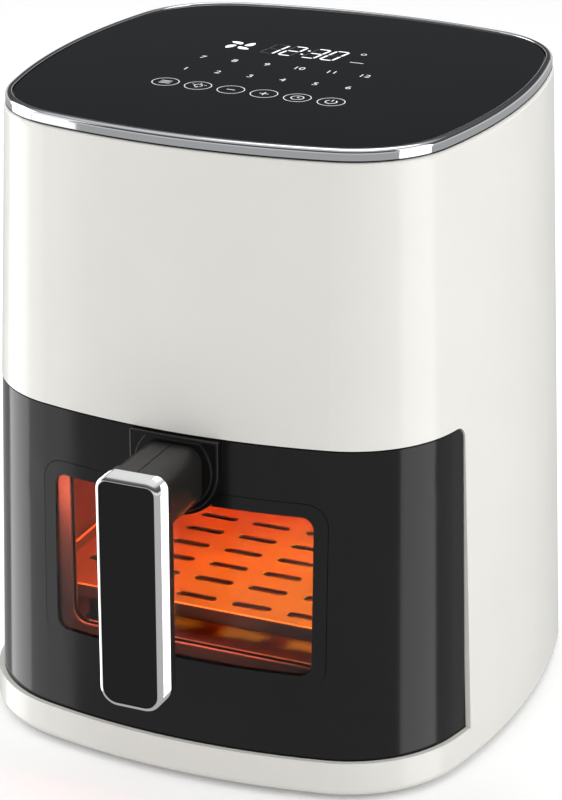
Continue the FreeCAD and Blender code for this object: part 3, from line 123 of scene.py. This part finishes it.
finishes = {
    "shell_white": surface("shell_white", (0.80, 0.79, 0.75), 0.20, mottle=0.012, grain=260.0, bump=0.012,
                           Coat_Weight=0.12, Coat_Roughness=0.08),
    "panel_black": surface("panel_black", (0.0065, 0.0065, 0.007), 0.13, mottle=0.12, mottle_scale=26.0,
                           rough_spread=0.035, grain=300.0, bump=0.008, Specular_IOR_Level=0.36),
    "moulding_black": surface("moulding_black", (0.02, 0.02, 0.021), 0.45, grain=1500.0, bump=0.12),
    "handle_black": surface("handle_black", (0.015, 0.0138, 0.013), 0.36, grain=1800.0, bump=0.10,
                            Specular_IOR_Level=0.4),
    "boss_black": surface("boss_black", (0.005, 0.005, 0.005), 0.24, grain=1400.0, bump=0.03, edge=0.8 * MM,
                          Specular_IOR_Level=0.3),
    "bay_black": surface("bay_black", (0.006, 0.006, 0.006), 0.5, grain=1500.0, bump=0.10,
                         Specular_IOR_Level=0.12),
    "inlay_black": surface("inlay_black", (0.006, 0.006, 0.006), 0.30, grain=1400.0, bump=0.04,
                           Specular_IOR_Level=0.25),
    "bright_trim": surface("bright_trim", (0.70, 0.715, 0.74), 0.05, metallic=1.0, mottle=0.01,
                           rough_spread=0.02, grain=500.0, bump=0.004),
    "handle_bright": surface("handle_bright", (0.93, 0.935, 0.94), 0.05, metallic=1.0, mottle=0.01,
                             rough_spread=0.02, grain=500.0, bump=0.004),
    "black_glass": surface("black_glass", (0.006, 0.008, 0.010), 0.06, mottle=0.08, rough_spread=0.02,
                           grain=120.0, bump=0.003, Specular_IOR_Level=0.4),
    "lens_glass": clear("lens_glass", (0.90, 0.86, 0.84), 0.01, ior=1.20),
    "pan_glass": clear("pan_glass", (0.94, 0.90, 0.86), 0.015, ior=1.14),
    "lamp_glass": clear("lamp_glass", (0.98, 0.94, 0.86), 0.12),
    "sheet_steel": surface("sheet_steel", (0.60, 0.60, 0.59), 0.30, metallic=1.0, mottle=0.06,
                           rough_spread=0.08, grain=700.0, bump=0.03),
    "coated_steel": surface("coated_steel", (0.085, 0.081, 0.078), 0.40, mottle=0.16, mottle_scale=40.0,
                            grain=2200.0, bump=0.12, edge=1.5 * MM),
    "liner_steel": surface("liner_steel", (0.095, 0.092, 0.090), 0.48, metallic=0.85, mottle=0.10,
                           rough_spread=0.08, grain=700.0, bump=0.05),
    # Pale steel colour laid only on upward faces, as painted highlight lines on the crisper's rim and the
    # pan's sill.
    "painted_highlight_steel": surface("painted_highlight_steel", (0.80, 0.78, 0.72), 0.35, metallic=0.2, mottle=0.10, bump=0.03),
    "heater_steel": surface("heater_steel", (0.16, 0.13, 0.12), 0.55, metallic=0.6, mottle=0.2,
                            Emission_Color=(1.0, 0.13, 0.02, 1.0)),
    "fan_aluminium": surface("fan_aluminium", (0.68, 0.68, 0.68), 0.35, metallic=1.0, grain=800.0, bump=0.05),
    "screw_steel": surface("screw_steel", (0.52, 0.52, 0.53), 0.34, metallic=1.0, mottle=0.08),
    "bush_brass": surface("bush_brass", (0.68, 0.49, 0.22), 0.30, metallic=1.0, mottle=0.08),
    "rubber_black": surface("rubber_black", (0.022, 0.022, 0.022), 0.75, mottle=0.1, grain=1800.0, bump=0.2),
    "board_green": surface("board_green", (0.02, 0.16, 0.07), 0.35, mottle=0.1),
    "component_grey": surface("component_grey", (0.09, 0.09, 0.10), 0.5, mottle=0.15),
    "ceramic_white": surface("ceramic_white", (0.74, 0.72, 0.66), 0.6, mottle=0.06),
    "lamp_filament": surface("lamp_filament", (0.95, 0.85, 0.7), 0.3, Emission_Color=(1.0, 0.42, 0.12, 1.0),
                             Emission_Strength=12.0),
    "print_white": surface("print_white", (0.74, 0.75, 0.75), 0.45, mottle=0.02,
                           Emission_Color=(0.9, 0.95, 1.0, 1.0), Emission_Strength=0.35),
    "digit_lit": surface("digit_lit", (0.85, 0.86, 0.86), 0.4, mottle=0.01,
                         Emission_Color=(0.92, 0.97, 1.0, 1.0), Emission_Strength=0.7),
    "digit_unlit": surface("digit_unlit", (0.045, 0.046, 0.047), 0.3, mottle=0.05),
    "floor_pale": surface("floor_pale", (0.90, 0.90, 0.90), 0.85, mottle=0.004, mottle_scale=2.0),
}

# Which finish each piece of the frame takes.
dressing = {
    "shell_white": ["outer_shell"],
    "panel_black": ["drawer_front"],
    "moulding_black": ["base_cover", "top_deck", "bay_frame", "rear_vent", "cord_gland",
                       "lamp_housing", "display_module", "touch_pads"],
    "handle_black": ["handle_left", "handle_right"],
    "boss_black": ["handle_boss"],
    "bay_black": ["drawer_core"],
    "inlay_black": ["handle_inlay"],
    "bright_trim": ["trim_ring"],
    "handle_bright": ["handle_bezel"],
    "black_glass": ["control_glass"],
    "lens_glass": ["window_lens"],
    "pan_glass": ["pan_glass"],
    "lamp_glass": ["lamp_lens"],
    "lamp_filament": ["lamp_bulb"],
    "liner_steel": ["chamber_liner", "chamber_roof"],
    "sheet_steel": ["guide_rails", "motor_bracket", "motor_case",
                    "heater_brackets", "temperature_sensor", "rotor_shaft"],
    "coated_steel": ["pan", "pan_glass_frame", "crisper_plate"],
    "heater_steel": ["heater_coil"],
    "fan_aluminium": ["convection_fan", "cooling_fan"],
    "screw_steel": ["base_screws", "board_screws", "motor_screws", "handle_screws", "fan_nut"],
    "bush_brass": ["motor_bushes"],
    "rubber_black": ["rubber_feet", "crisper_bumpers"],
    "board_green": ["touch_board", "power_board"],
    "component_grey": ["power_parts", "switch_case", "switch_plunger", "thermal_cutout"],
    "ceramic_white": ["heater_bushes"],
}

HEATER_GLOW = 1.6


def glow_heater():
    """Lets the heater glow inside the chamber; its ends above the roof stay dark."""
    tree = finishes["heater_steel"].node_tree
    place = tree.nodes.new("ShaderNodeTexCoord")
    level = tree.nodes.new("ShaderNodeSeparateXYZ")
    tree.links.new(place.outputs["Object"], level.inputs[0])
    inside = maths(tree, "LESS_THAN", level.outputs["Z"], roof_low.z)
    glow = maths(tree, "MULTIPLY", inside, HEATER_GLOW)
    tree.links.new(glow, tree.nodes["Principled BSDF"].inputs["Emission Strength"])


glow_heater()

for finish, names in dressing.items():
    for name in names:
        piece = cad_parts[name]
        piece.data.materials.clear()
        piece.data.materials.append(finishes[finish])


# ---------------------------------------------------------------- handle frame
BEZEL_FILLET = 1.5 * MM
# How far the shading leans to the front: before the fillet, just behind it, and at the rear end of the side.
LEAN_FRONT, LEAN_SIDE, LEAN_REAR = [math.radians(degrees) for degrees in (72.0, 43.0, 23.0)]
FACES_BACK, FLAT_FRONT = 0.5, 0.001


def crown_bezel():
    """Smooths the shading of the bright frame's outside, so that it mirrors the studio as one crowned bar."""
    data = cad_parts["handle_bezel"].data
    low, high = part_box("handle_bezel")
    middle = (low + high) / 2
    flat_start = low.y + BEZEL_FILLET
    normals = [Vector(corner.vector) for corner in data.corner_normals]
    for index, normal in enumerate(normals):
        point = data.vertices[data.loops[index].vertex_index].co
        sideways = Vector((normal.x, 0, normal.z))
        faces_in = sideways.dot(point - middle) < 0
        if normal.y > FACES_BACK or sideways.length < FLAT_FRONT or faces_in:
            continue
        share = min(1.0, max(0.0, (point.y - flat_start) / (high.y - flat_start)))
        lean = LEAN_SIDE + (LEAN_REAR - LEAN_SIDE) * share
        turned = max(0.0, math.asin(min(1.0, max(-1.0, -normal.y)))) / (math.pi / 2)
        lean += (LEAN_FRONT - lean) * turned
        normals[index] = sideways.normalized() * math.cos(lean) + Vector((0, -math.sin(lean), 0))
    data.normals_split_custom_set(normals)


crown_bezel()


# ---------------------------------------------------------------- marks on the control glass
# Strokes are drawn in millimetres about the middle of the glass.
MARK_LIFT = 0.06 * MM
ARC_STEP = 7.5
LEAF_STEPS, LEAF_SWING, LEAF_START = 12, 0.55, 0.22
RING_X, RING_Y = [-44.6 + 17.3 * i for i in range(6)], -41.0
RING_RADIUS, RING_LINE = 6.6, 0.42
THIN, FINE, BOLD = 0.45, 0.5, 0.6
FAN_X, FAN_Y, FAN_REACH, FAN_WIDTH = -39.0, 34.0, 8.6, 4.3
DIGITS = list(zip("1230", (-25.0, -15.0, -2.6, 7.4)))
DIGIT_WIDTH, DIGIT_HEIGHT, DIGIT_BOTTOM, DIGIT_SLANT = 6.6, 17.0, 26.0, 0.16
STROKE_HALF, STROKE_GAP = 0.6, 0.35
COLON_X, COLON_LEVELS = -5.0, (31.0, 38.0)
NUMBER_SIZE = 6.4
LOWER_NUMBERS = [(-45.8 + 17.2 * i, -15.7) for i in range(6)]
UPPER_NUMBERS = [(-47.0 + 17.3 * i, 6.5) for i in range(6)]


def bar(mesh, x, y, length, thickness, turn=0.0):
    """A straight stroke about (x, y)."""
    along = Vector((math.cos(turn), math.sin(turn), 0)) * (length / 2)
    across = Vector((-math.sin(turn), math.cos(turn), 0)) * (thickness / 2)
    middle = Vector((x, y, 0))
    corners = [middle - along - across, middle + along - across,
               middle + along + across, middle - along + across]
    mesh.faces.new([mesh.verts.new(c) for c in corners])


def arc(mesh, x, y, radius, thickness, first=0.0, last=360.0):
    """A round stroke about (x, y), from one angle in degrees to another."""
    steps = max(8, int((last - first) / ARC_STEP))
    pairs = []
    for step in range(steps + 1):
        turn = math.radians(first + (last - first) * step / steps)
        ray = Vector((math.cos(turn), math.sin(turn), 0))
        middle = Vector((x, y, 0))
        pairs.append((mesh.verts.new(middle + ray * (radius - thickness / 2)),
                      mesh.verts.new(middle + ray * (radius + thickness / 2))))
    for (inner, outer), (next_inner, next_outer) in zip(pairs, pairs[1:]):
        mesh.faces.new([inner, outer, next_outer, next_inner])


def leaf(mesh, x, y, turn, reach, width):
    """One curved fan blade that starts near (x, y)."""
    sides = ([], [])
    for step in range(LEAF_STEPS + 1):
        part = step / LEAF_STEPS
        swing = turn + LEAF_SWING * part
        along = Vector((math.cos(swing), math.sin(swing), 0)) * (LEAF_START + (1 - LEAF_START) * part) * reach
        swell = math.sin(math.pi * part) ** 0.7
        across = Vector((-math.sin(swing), math.cos(swing), 0)) * width * swell / 2
        for side, sign in zip(sides, (1, -1)):
            side.append(Vector((x, y, 0)) + along + across * sign)
    points = sides[0] + sides[1][-2:0:-1]
    mesh.faces.new([mesh.verts.new(p) for p in points])


def mark(name, finish, draw):
    """Lays the strokes that draw() makes on the control glass."""
    mesh = bmesh.new()
    draw(mesh)
    data = bpy.data.meshes.new(name)
    bmesh.ops.recalc_face_normals(mesh, faces=mesh.faces)
    for face in mesh.faces:
        if face.normal.z < 0:
            face.normal_flip()
    mesh.to_mesh(data)
    mesh.free()
    piece = bpy.data.objects.new(name, data)
    scene.collection.objects.link(piece)
    piece.scale = (MM, MM, MM)
    piece.location = (body_middle.x, body_middle.y, glass_high.z + MARK_LIFT)
    piece.data.materials.append(finishes[finish])
    bpy.context.view_layer.update()
    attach(piece, "housing")


def draw_rings(mesh):
    for x in RING_X:
        arc(mesh, x, RING_Y, RING_RADIUS, RING_LINE)


def draw_symbols(mesh):
    """Menu, lamp, minus, plus, clock and power, one in each ring."""
    menu, lamp, minus, plus, clock, power = RING_X
    for step in (-1.9, 0, 1.9):
        bar(mesh, menu, RING_Y + step, 5.6, BOLD)
    bulb_y, ray_reach = RING_Y + 0.5, 3.4
    arc(mesh, lamp, bulb_y, 1.9, FINE, -55, 235)
    bar(mesh, lamp, RING_Y - 1.7, 2.0, FINE)
    bar(mesh, lamp, RING_Y - 2.6, 1.4, FINE)
    for degrees in (20, 90, 160):
        turn = math.radians(degrees)
        bar(mesh, lamp + ray_reach * math.cos(turn), bulb_y + ray_reach * math.sin(turn), 1.2, THIN, turn)
    bar(mesh, minus, RING_Y, 4.4, BOLD)
    bar(mesh, plus, RING_Y, 4.6, BOLD)
    bar(mesh, plus, RING_Y, 4.6, BOLD, math.pi / 2)
    arc(mesh, clock, RING_Y, 3.1, FINE)
    bar(mesh, clock, RING_Y + 0.9, 2.0, THIN, math.pi / 2)
    bar(mesh, clock + 0.7, RING_Y - 0.1, 1.5, THIN)
    arc(mesh, power, RING_Y, 2.8, BOLD, 125, 415)
    bar(mesh, power, RING_Y + 2.0, 3.0, BOLD, math.pi / 2)


def draw_fan(mesh):
    for degrees in range(20, 360, 90):
        leaf(mesh, FAN_X, FAN_Y, math.radians(degrees), FAN_REACH, FAN_WIDTH)


def draw_units(mesh):
    """A degree ring and a dash, where the photograph has the units."""
    arc(mesh, 24.5, 42.5, 1.3, FINE)
    bar(mesh, 27.0, 27.0, 7.0, 0.7)


SEGMENTS = {"0": "abcdef", "1": "bc", "2": "abged", "3": "abgcd"}


def segment(mesh, left, letter):
    """One stroke of a leaning seven-stroke digit, with pointed ends."""
    ends = {
        "a": ((0, 2), (1, 2)), "b": ((1, 2), (1, 1)), "c": ((1, 1), (1, 0)), "d": ((0, 0), (1, 0)),
        "e": ((0, 1), (0, 0)), "f": ((0, 2), (0, 1)), "g": ((0, 1), (1, 1)),
    }[letter]
    start, stop = [Vector((left + DIGIT_WIDTH * x, DIGIT_BOTTOM + DIGIT_HEIGHT * y / 2, 0)) for x, y in ends]
    along = (stop - start).normalized()
    across = Vector((-along.y, along.x, 0)) * STROKE_HALF
    start, stop = start + along * STROKE_GAP, stop - along * STROKE_GAP
    point = along * STROKE_HALF
    outline = [start, start + point - across, stop - point - across,
               stop, stop - point + across, start + point + across]
    mesh.faces.new([mesh.verts.new((p.x + DIGIT_SLANT * (p.y - DIGIT_BOTTOM), p.y, 0)) for p in outline])


def draw_lit(mesh):
    for digit, left in DIGITS:
        for letter in SEGMENTS[digit]:
            segment(mesh, left, letter)
    for y in COLON_LEVELS:
        bar(mesh, COLON_X + DIGIT_SLANT * (y - DIGIT_BOTTOM), y, 1.3, 1.6)


def draw_unlit(mesh):
    for digit, left in DIGITS:
        for letter in sorted(set("abcdefg") - set(SEGMENTS[digit])):
            segment(mesh, left, letter)


def draw_numbers(mesh):
    """Plain preset numbers, in two rows."""
    for number, (x, y) in enumerate(LOWER_NUMBERS + UPPER_NUMBERS, 1):
        text = bpy.data.curves.new("number", "FONT")
        text.body = str(number)
        text.align_x = "CENTER"
        text.align_y = "CENTER"
        text.size = NUMBER_SIZE
        holder = bpy.data.objects.new("number", text)
        scene.collection.objects.link(holder)
        bpy.context.view_layer.update()
        shape = bpy.data.meshes.new_from_object(holder.evaluated_get(bpy.context.evaluated_depsgraph_get()))
        first = len(mesh.verts)
        mesh.from_mesh(shape)
        mesh.verts.ensure_lookup_table()
        for vertex in mesh.verts[first:]:
            vertex.co += Vector((x, y, 0))
        bpy.data.objects.remove(holder)
        bpy.data.curves.remove(text)
        bpy.data.meshes.remove(shape)


mark("touch_rings", "print_white", draw_rings)
mark("touch_symbols", "print_white", draw_symbols)
mark("preset_numbers", "print_white", draw_numbers)
mark("fan_mark", "digit_lit", draw_fan)
mark("unit_marks", "print_white", draw_units)
mark("digits_lit", "digit_lit", draw_lit)
mark("digits_unlit", "digit_unlit", draw_unlit)


# ---------------------------------------------------------------- thin layers on faces of the pieces
def layer(name, node, finish, body, keep, limits=()):
    """Lays a thin coat on the faces of a piece that keep() picks, less what lies inside all the limits."""
    mesh = bmesh.new()
    mesh.from_mesh(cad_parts[node].data)
    bmesh.ops.delete(mesh, geom=[face for face in mesh.faces if not keep(face)], context="FACES")
    for point, outward in limits:
        everything = mesh.verts[:] + mesh.edges[:] + mesh.faces[:]
        bmesh.ops.bisect_plane(mesh, geom=everything, plane_co=point, plane_no=outward)
    if limits:
        inside = [face for face in mesh.faces if all(
            (face.calc_center_median() - point).dot(outward) < 0 for point, outward in limits)]
        bmesh.ops.delete(mesh, geom=inside, context="FACES")
    mesh.normal_update()
    for vertex in mesh.verts:
        vertex.co += vertex.normal * MARK_LIFT
    data = bpy.data.meshes.new(name)
    mesh.to_mesh(data)
    mesh.free()
    data.shade_smooth()
    piece = bpy.data.objects.new(name, data)
    scene.collection.objects.link(piece)
    piece.data.materials.append(finishes[finish])
    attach(piece, body)


WINDOW_HALF, WINDOW_BOTTOM, WINDOW_TOP, WINDOW_CORNER = 68.0 * MM, 64.0 * MM, 146.0 * MM, 6.5 * MM
# Level of the pan's window sill, and the height of the painted shadow band at the foot of the ring.
PAN_SILL, RING_SHADOW_BAND = 58.0 * MM, 0.7 * MM
FACES_UP, LEVEL_SLACK = 0.9, 0.2 * MM
FACES_FRONT, STANDS_UPRIGHT = -0.5, 0.2


def window_limits():
    """Planes round the clear window, with rounded corners."""
    limits = [(Vector((side * WINDOW_HALF, 0, 0)), Vector((side, 0, 0))) for side in (-1, 1)]
    for level, up in ((WINDOW_BOTTOM, -1), (WINDOW_TOP, 1)):
        limits.append((Vector((0, 0, level)), Vector((0, 0, up))))
    for side in (-1, 1):
        for up, level in ((-1, WINDOW_BOTTOM + WINDOW_CORNER), (1, WINDOW_TOP - WINDOW_CORNER)):
            for degrees in range(10, 90, 10):
                turn = math.radians(degrees)
                outward = Vector((side * math.cos(turn), 0, up * math.sin(turn)))
                corner = Vector((side * (WINDOW_HALF - WINDOW_CORNER), 0, level))
                limits.append((corner + outward * WINDOW_CORNER, outward))
    return limits


def faces_up(face, height):
    """Is this a level face at a height, seen from above?"""
    return face.normal.z > FACES_UP and abs(face.calc_center_median().z - height) < LEVEL_SLACK


# Black print round the window; painted highlights, a pale steel colour on the level tops of the crisper's rim
# and of the pan's window sill; and a painted shadow, a dark band at the foot of the bright ring.
_, rim_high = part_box("crisper_plate")
ring_low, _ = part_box("trim_ring")
layer("window_print", "window_lens", "panel_black", "drawer",
      lambda f: f.normal.y < FACES_FRONT, window_limits())
layer("crisper_rim_painted_highlight", "crisper_plate", "painted_highlight_steel", "crisper",
      lambda f: faces_up(f, rim_high.z))
layer("pan_sill_painted_highlight", "pan", "painted_highlight_steel", "drawer", lambda f: faces_up(f, PAN_SILL))
# Painted shadow: a black band along the lowest part of the ring's outer wall, where shade falls under the
# ring.
layer("ring_painted_shadow", "trim_ring", "boss_black", "housing",
      lambda f: abs(f.normal.z) < STANDS_UPRIGHT and (f.calc_center_median() - body_middle).dot(f.normal) > 0,
      [(Vector((0, 0, ring_low.z + RING_SHADOW_BAND)), Vector((0, 0, -1)))])


# ---------------------------------------------------------------- floor, world, lights
FLOOR_HALF, FLOOR_EXTRA = 5.0, 0.16
SKY_LEVEL = 0.74
# What gloss mirrors: its level straight down, straight up, and between them by the height of the direction.
MIRRORED_DOWN, MIRRORED_UP = 0.42, 0.85
MIRRORED_BETWEEN = ((0.40, 0.46), (0.49, 0.80), (0.53, 0.75), (0.60, 0.10),
                    (0.66, 0.07), (0.80, 0.15), (0.90, 0.7))


def lay_floor():
    """A pale floor; rays that show it as a background get a little more of it."""
    data = bpy.data.meshes.new("floor")
    corners = [(x * FLOOR_HALF, y * FLOOR_HALF, 0) for x, y in ((-1, -1), (1, -1), (1, 1), (-1, 1))]
    data.from_pydata(corners, [], [(0, 1, 2, 3)])
    floor = bpy.data.objects.new("floor", data)
    scene.collection.objects.link(floor)
    floor.data.materials.append(finishes["floor_pale"])
    floor.visible_glossy = False

    tree = finishes["floor_pale"].node_tree
    seen = tree.nodes.new("ShaderNodeLightPath")
    either = maths(tree, "MAXIMUM", seen.outputs["Is Camera Ray"], seen.outputs["Is Transmission Ray"])
    shine = tree.nodes.new("ShaderNodeEmission")
    tree.links.new(maths(tree, "MULTIPLY", either, FLOOR_EXTRA), shine.inputs["Strength"])
    both = tree.nodes.new("ShaderNodeAddShader")
    tree.links.new(tree.nodes["Principled BSDF"].outputs[0], both.inputs[0])
    tree.links.new(shine.outputs[0], both.inputs[1])
    tree.links.new(both.outputs[0], tree.nodes["Material Output"].inputs["Surface"])


def hang_sky():
    """An even white studio, which gloss sees as bands of light and dark."""
    world = bpy.data.worlds.new("studio")
    scene.world = world
    world.use_nodes = True
    tree = world.node_tree
    even = tree.nodes["Background"]
    even.inputs["Color"].default_value = (1.0, 1.0, 1.0, 1.0)
    even.inputs["Strength"].default_value = SKY_LEVEL
    direction = tree.nodes.new("ShaderNodeTexCoord")
    height = tree.nodes.new("ShaderNodeSeparateXYZ")
    tree.links.new(direction.outputs["Generated"], height.inputs[0])
    share = tree.nodes.new("ShaderNodeMapRange")
    share.inputs["From Min"].default_value = -1.0
    tree.links.new(height.outputs["Z"], share.inputs["Value"])
    band = tree.nodes.new("ShaderNodeValToRGB")
    for stop, level in zip(band.color_ramp.elements, (MIRRORED_DOWN, MIRRORED_UP)):
        stop.color = (level, level, level, 1)
    for position, level in MIRRORED_BETWEEN:
        stop = band.color_ramp.elements.new(position)
        stop.color = (level, level, level, 1)
    tree.links.new(share.outputs["Result"], band.inputs["Fac"])
    mirrored = tree.nodes.new("ShaderNodeBackground")
    tree.links.new(band.outputs["Color"], mirrored.inputs["Color"])
    path = tree.nodes.new("ShaderNodeLightPath")
    choose = tree.nodes.new("ShaderNodeMixShader")
    tree.links.new(path.outputs["Is Glossy Ray"], choose.inputs["Fac"])
    tree.links.new(even.outputs[0], choose.inputs[1])
    tree.links.new(mirrored.outputs[0], choose.inputs[2])
    tree.links.new(choose.outputs[0], tree.nodes["World Output"].inputs["Surface"])


def softbox(name, place, width, height, power, aim=(0.0, 0.0, 0.16), colour=(1, 1, 1), spread=180):
    """A rectangular lamp that looks at a point."""
    data = bpy.data.lights.new(name, "AREA")
    data.shape = "RECTANGLE"
    data.size = width
    data.size_y = height
    data.energy = power
    data.color = colour
    data.spread = math.radians(spread)
    lamp = bpy.data.objects.new(name, data)
    scene.collection.objects.link(lamp)
    lamp.location = place
    lamp.rotation_mode = "QUATERNION"
    lamp.rotation_quaternion = (Vector(aim) - Vector(place)).to_track_quat("-Z", "Y")


lay_floor()
hang_sky()

# Tall boxes stand left and right of the object and reach below it, as around a small photo table.
BOX_LEVEL, BOX_HEIGHT = 0.2, 2.2
chamber_y = body_middle.y
box_aim = (0.0, chamber_y, BOX_LEVEL)
softbox("left_box", (-1.4, chamber_y - 0.05, BOX_LEVEL), 0.9, BOX_HEIGHT, 14.0, box_aim)
softbox("left_fill", (-1.17, chamber_y - 0.76, BOX_LEVEL), 0.6, BOX_HEIGHT, 4.0, box_aim)
softbox("right_box", (1.3, chamber_y - 0.09, BOX_LEVEL), 0.85, BOX_HEIGHT, 9.6, box_aim)
softbox("top_box", (0.1, 0.3, 1.9), 1.3, 1.3, 9.0)

# Warm light in the cooking chamber, seen through the window: red from the heater, orange from the lamp.
softbox("heater_glow", (-0.03, chamber_y, roof_low.z - 0.022), 0.12, 0.15, 1.2,
        aim=(-0.03, chamber_y, 0.05), colour=(1.0, 0.05, 0.003), spread=100)
softbox("lamp_glow", (roof_high.x - 0.010, chamber_y - 0.026, 0.203), 0.03, 0.03, 1.05,
        aim=(0.045, chamber_y - 0.055, 0.06), colour=(1.0, 0.38, 0.025), spread=80)
# A weak red strip above the window, for what the real glow throws on the frame behind the lens.
_, lens_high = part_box("window_lens")
pane_low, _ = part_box("pan_glass")
gap_y = (lens_high.y + pane_low.y) / 2
softbox("frame_glow", (-0.02, gap_y, WINDOW_TOP + 1.5 * MM), 0.12, 0.006, 0.16,
        aim=(-0.02, gap_y + 0.02, 0.05), colour=(1.0, 0.16, 0.08), spread=40)


# ---------------------------------------------------------------- camera
AZIMUTH, ELEVATION, DISTANCE = math.radians(23.7), math.radians(22.0), 1.5
FOCAL_PIXELS, FRAME_PIXELS = 2941.5, 800.0
TARGET_HEIGHT, TARGET_LEFT = 149.9 * MM, 1.7 * MM
toward_eye = Vector((math.sin(AZIMUTH) * math.cos(ELEVATION), -math.cos(AZIMUTH) * math.cos(ELEVATION),
                     math.sin(ELEVATION)))
to_right = Vector((math.cos(AZIMUTH), math.sin(AZIMUTH), 0))
target = Vector((body_middle.x, body_middle.y, TARGET_HEIGHT)) - to_right * TARGET_LEFT
camera = bpy.data.objects.new("camera", bpy.data.cameras.new("camera"))
scene.collection.objects.link(camera)
camera.data.sensor_width = 36.0
camera.data.lens = FOCAL_PIXELS * camera.data.sensor_width / FRAME_PIXELS
camera.location = target + toward_eye * DISTANCE
camera.rotation_mode = "QUATERNION"
camera.rotation_quaternion = (-toward_eye).to_track_quat("-Z", "Y")
camera.data.clip_end = 50.0
scene.camera = camera
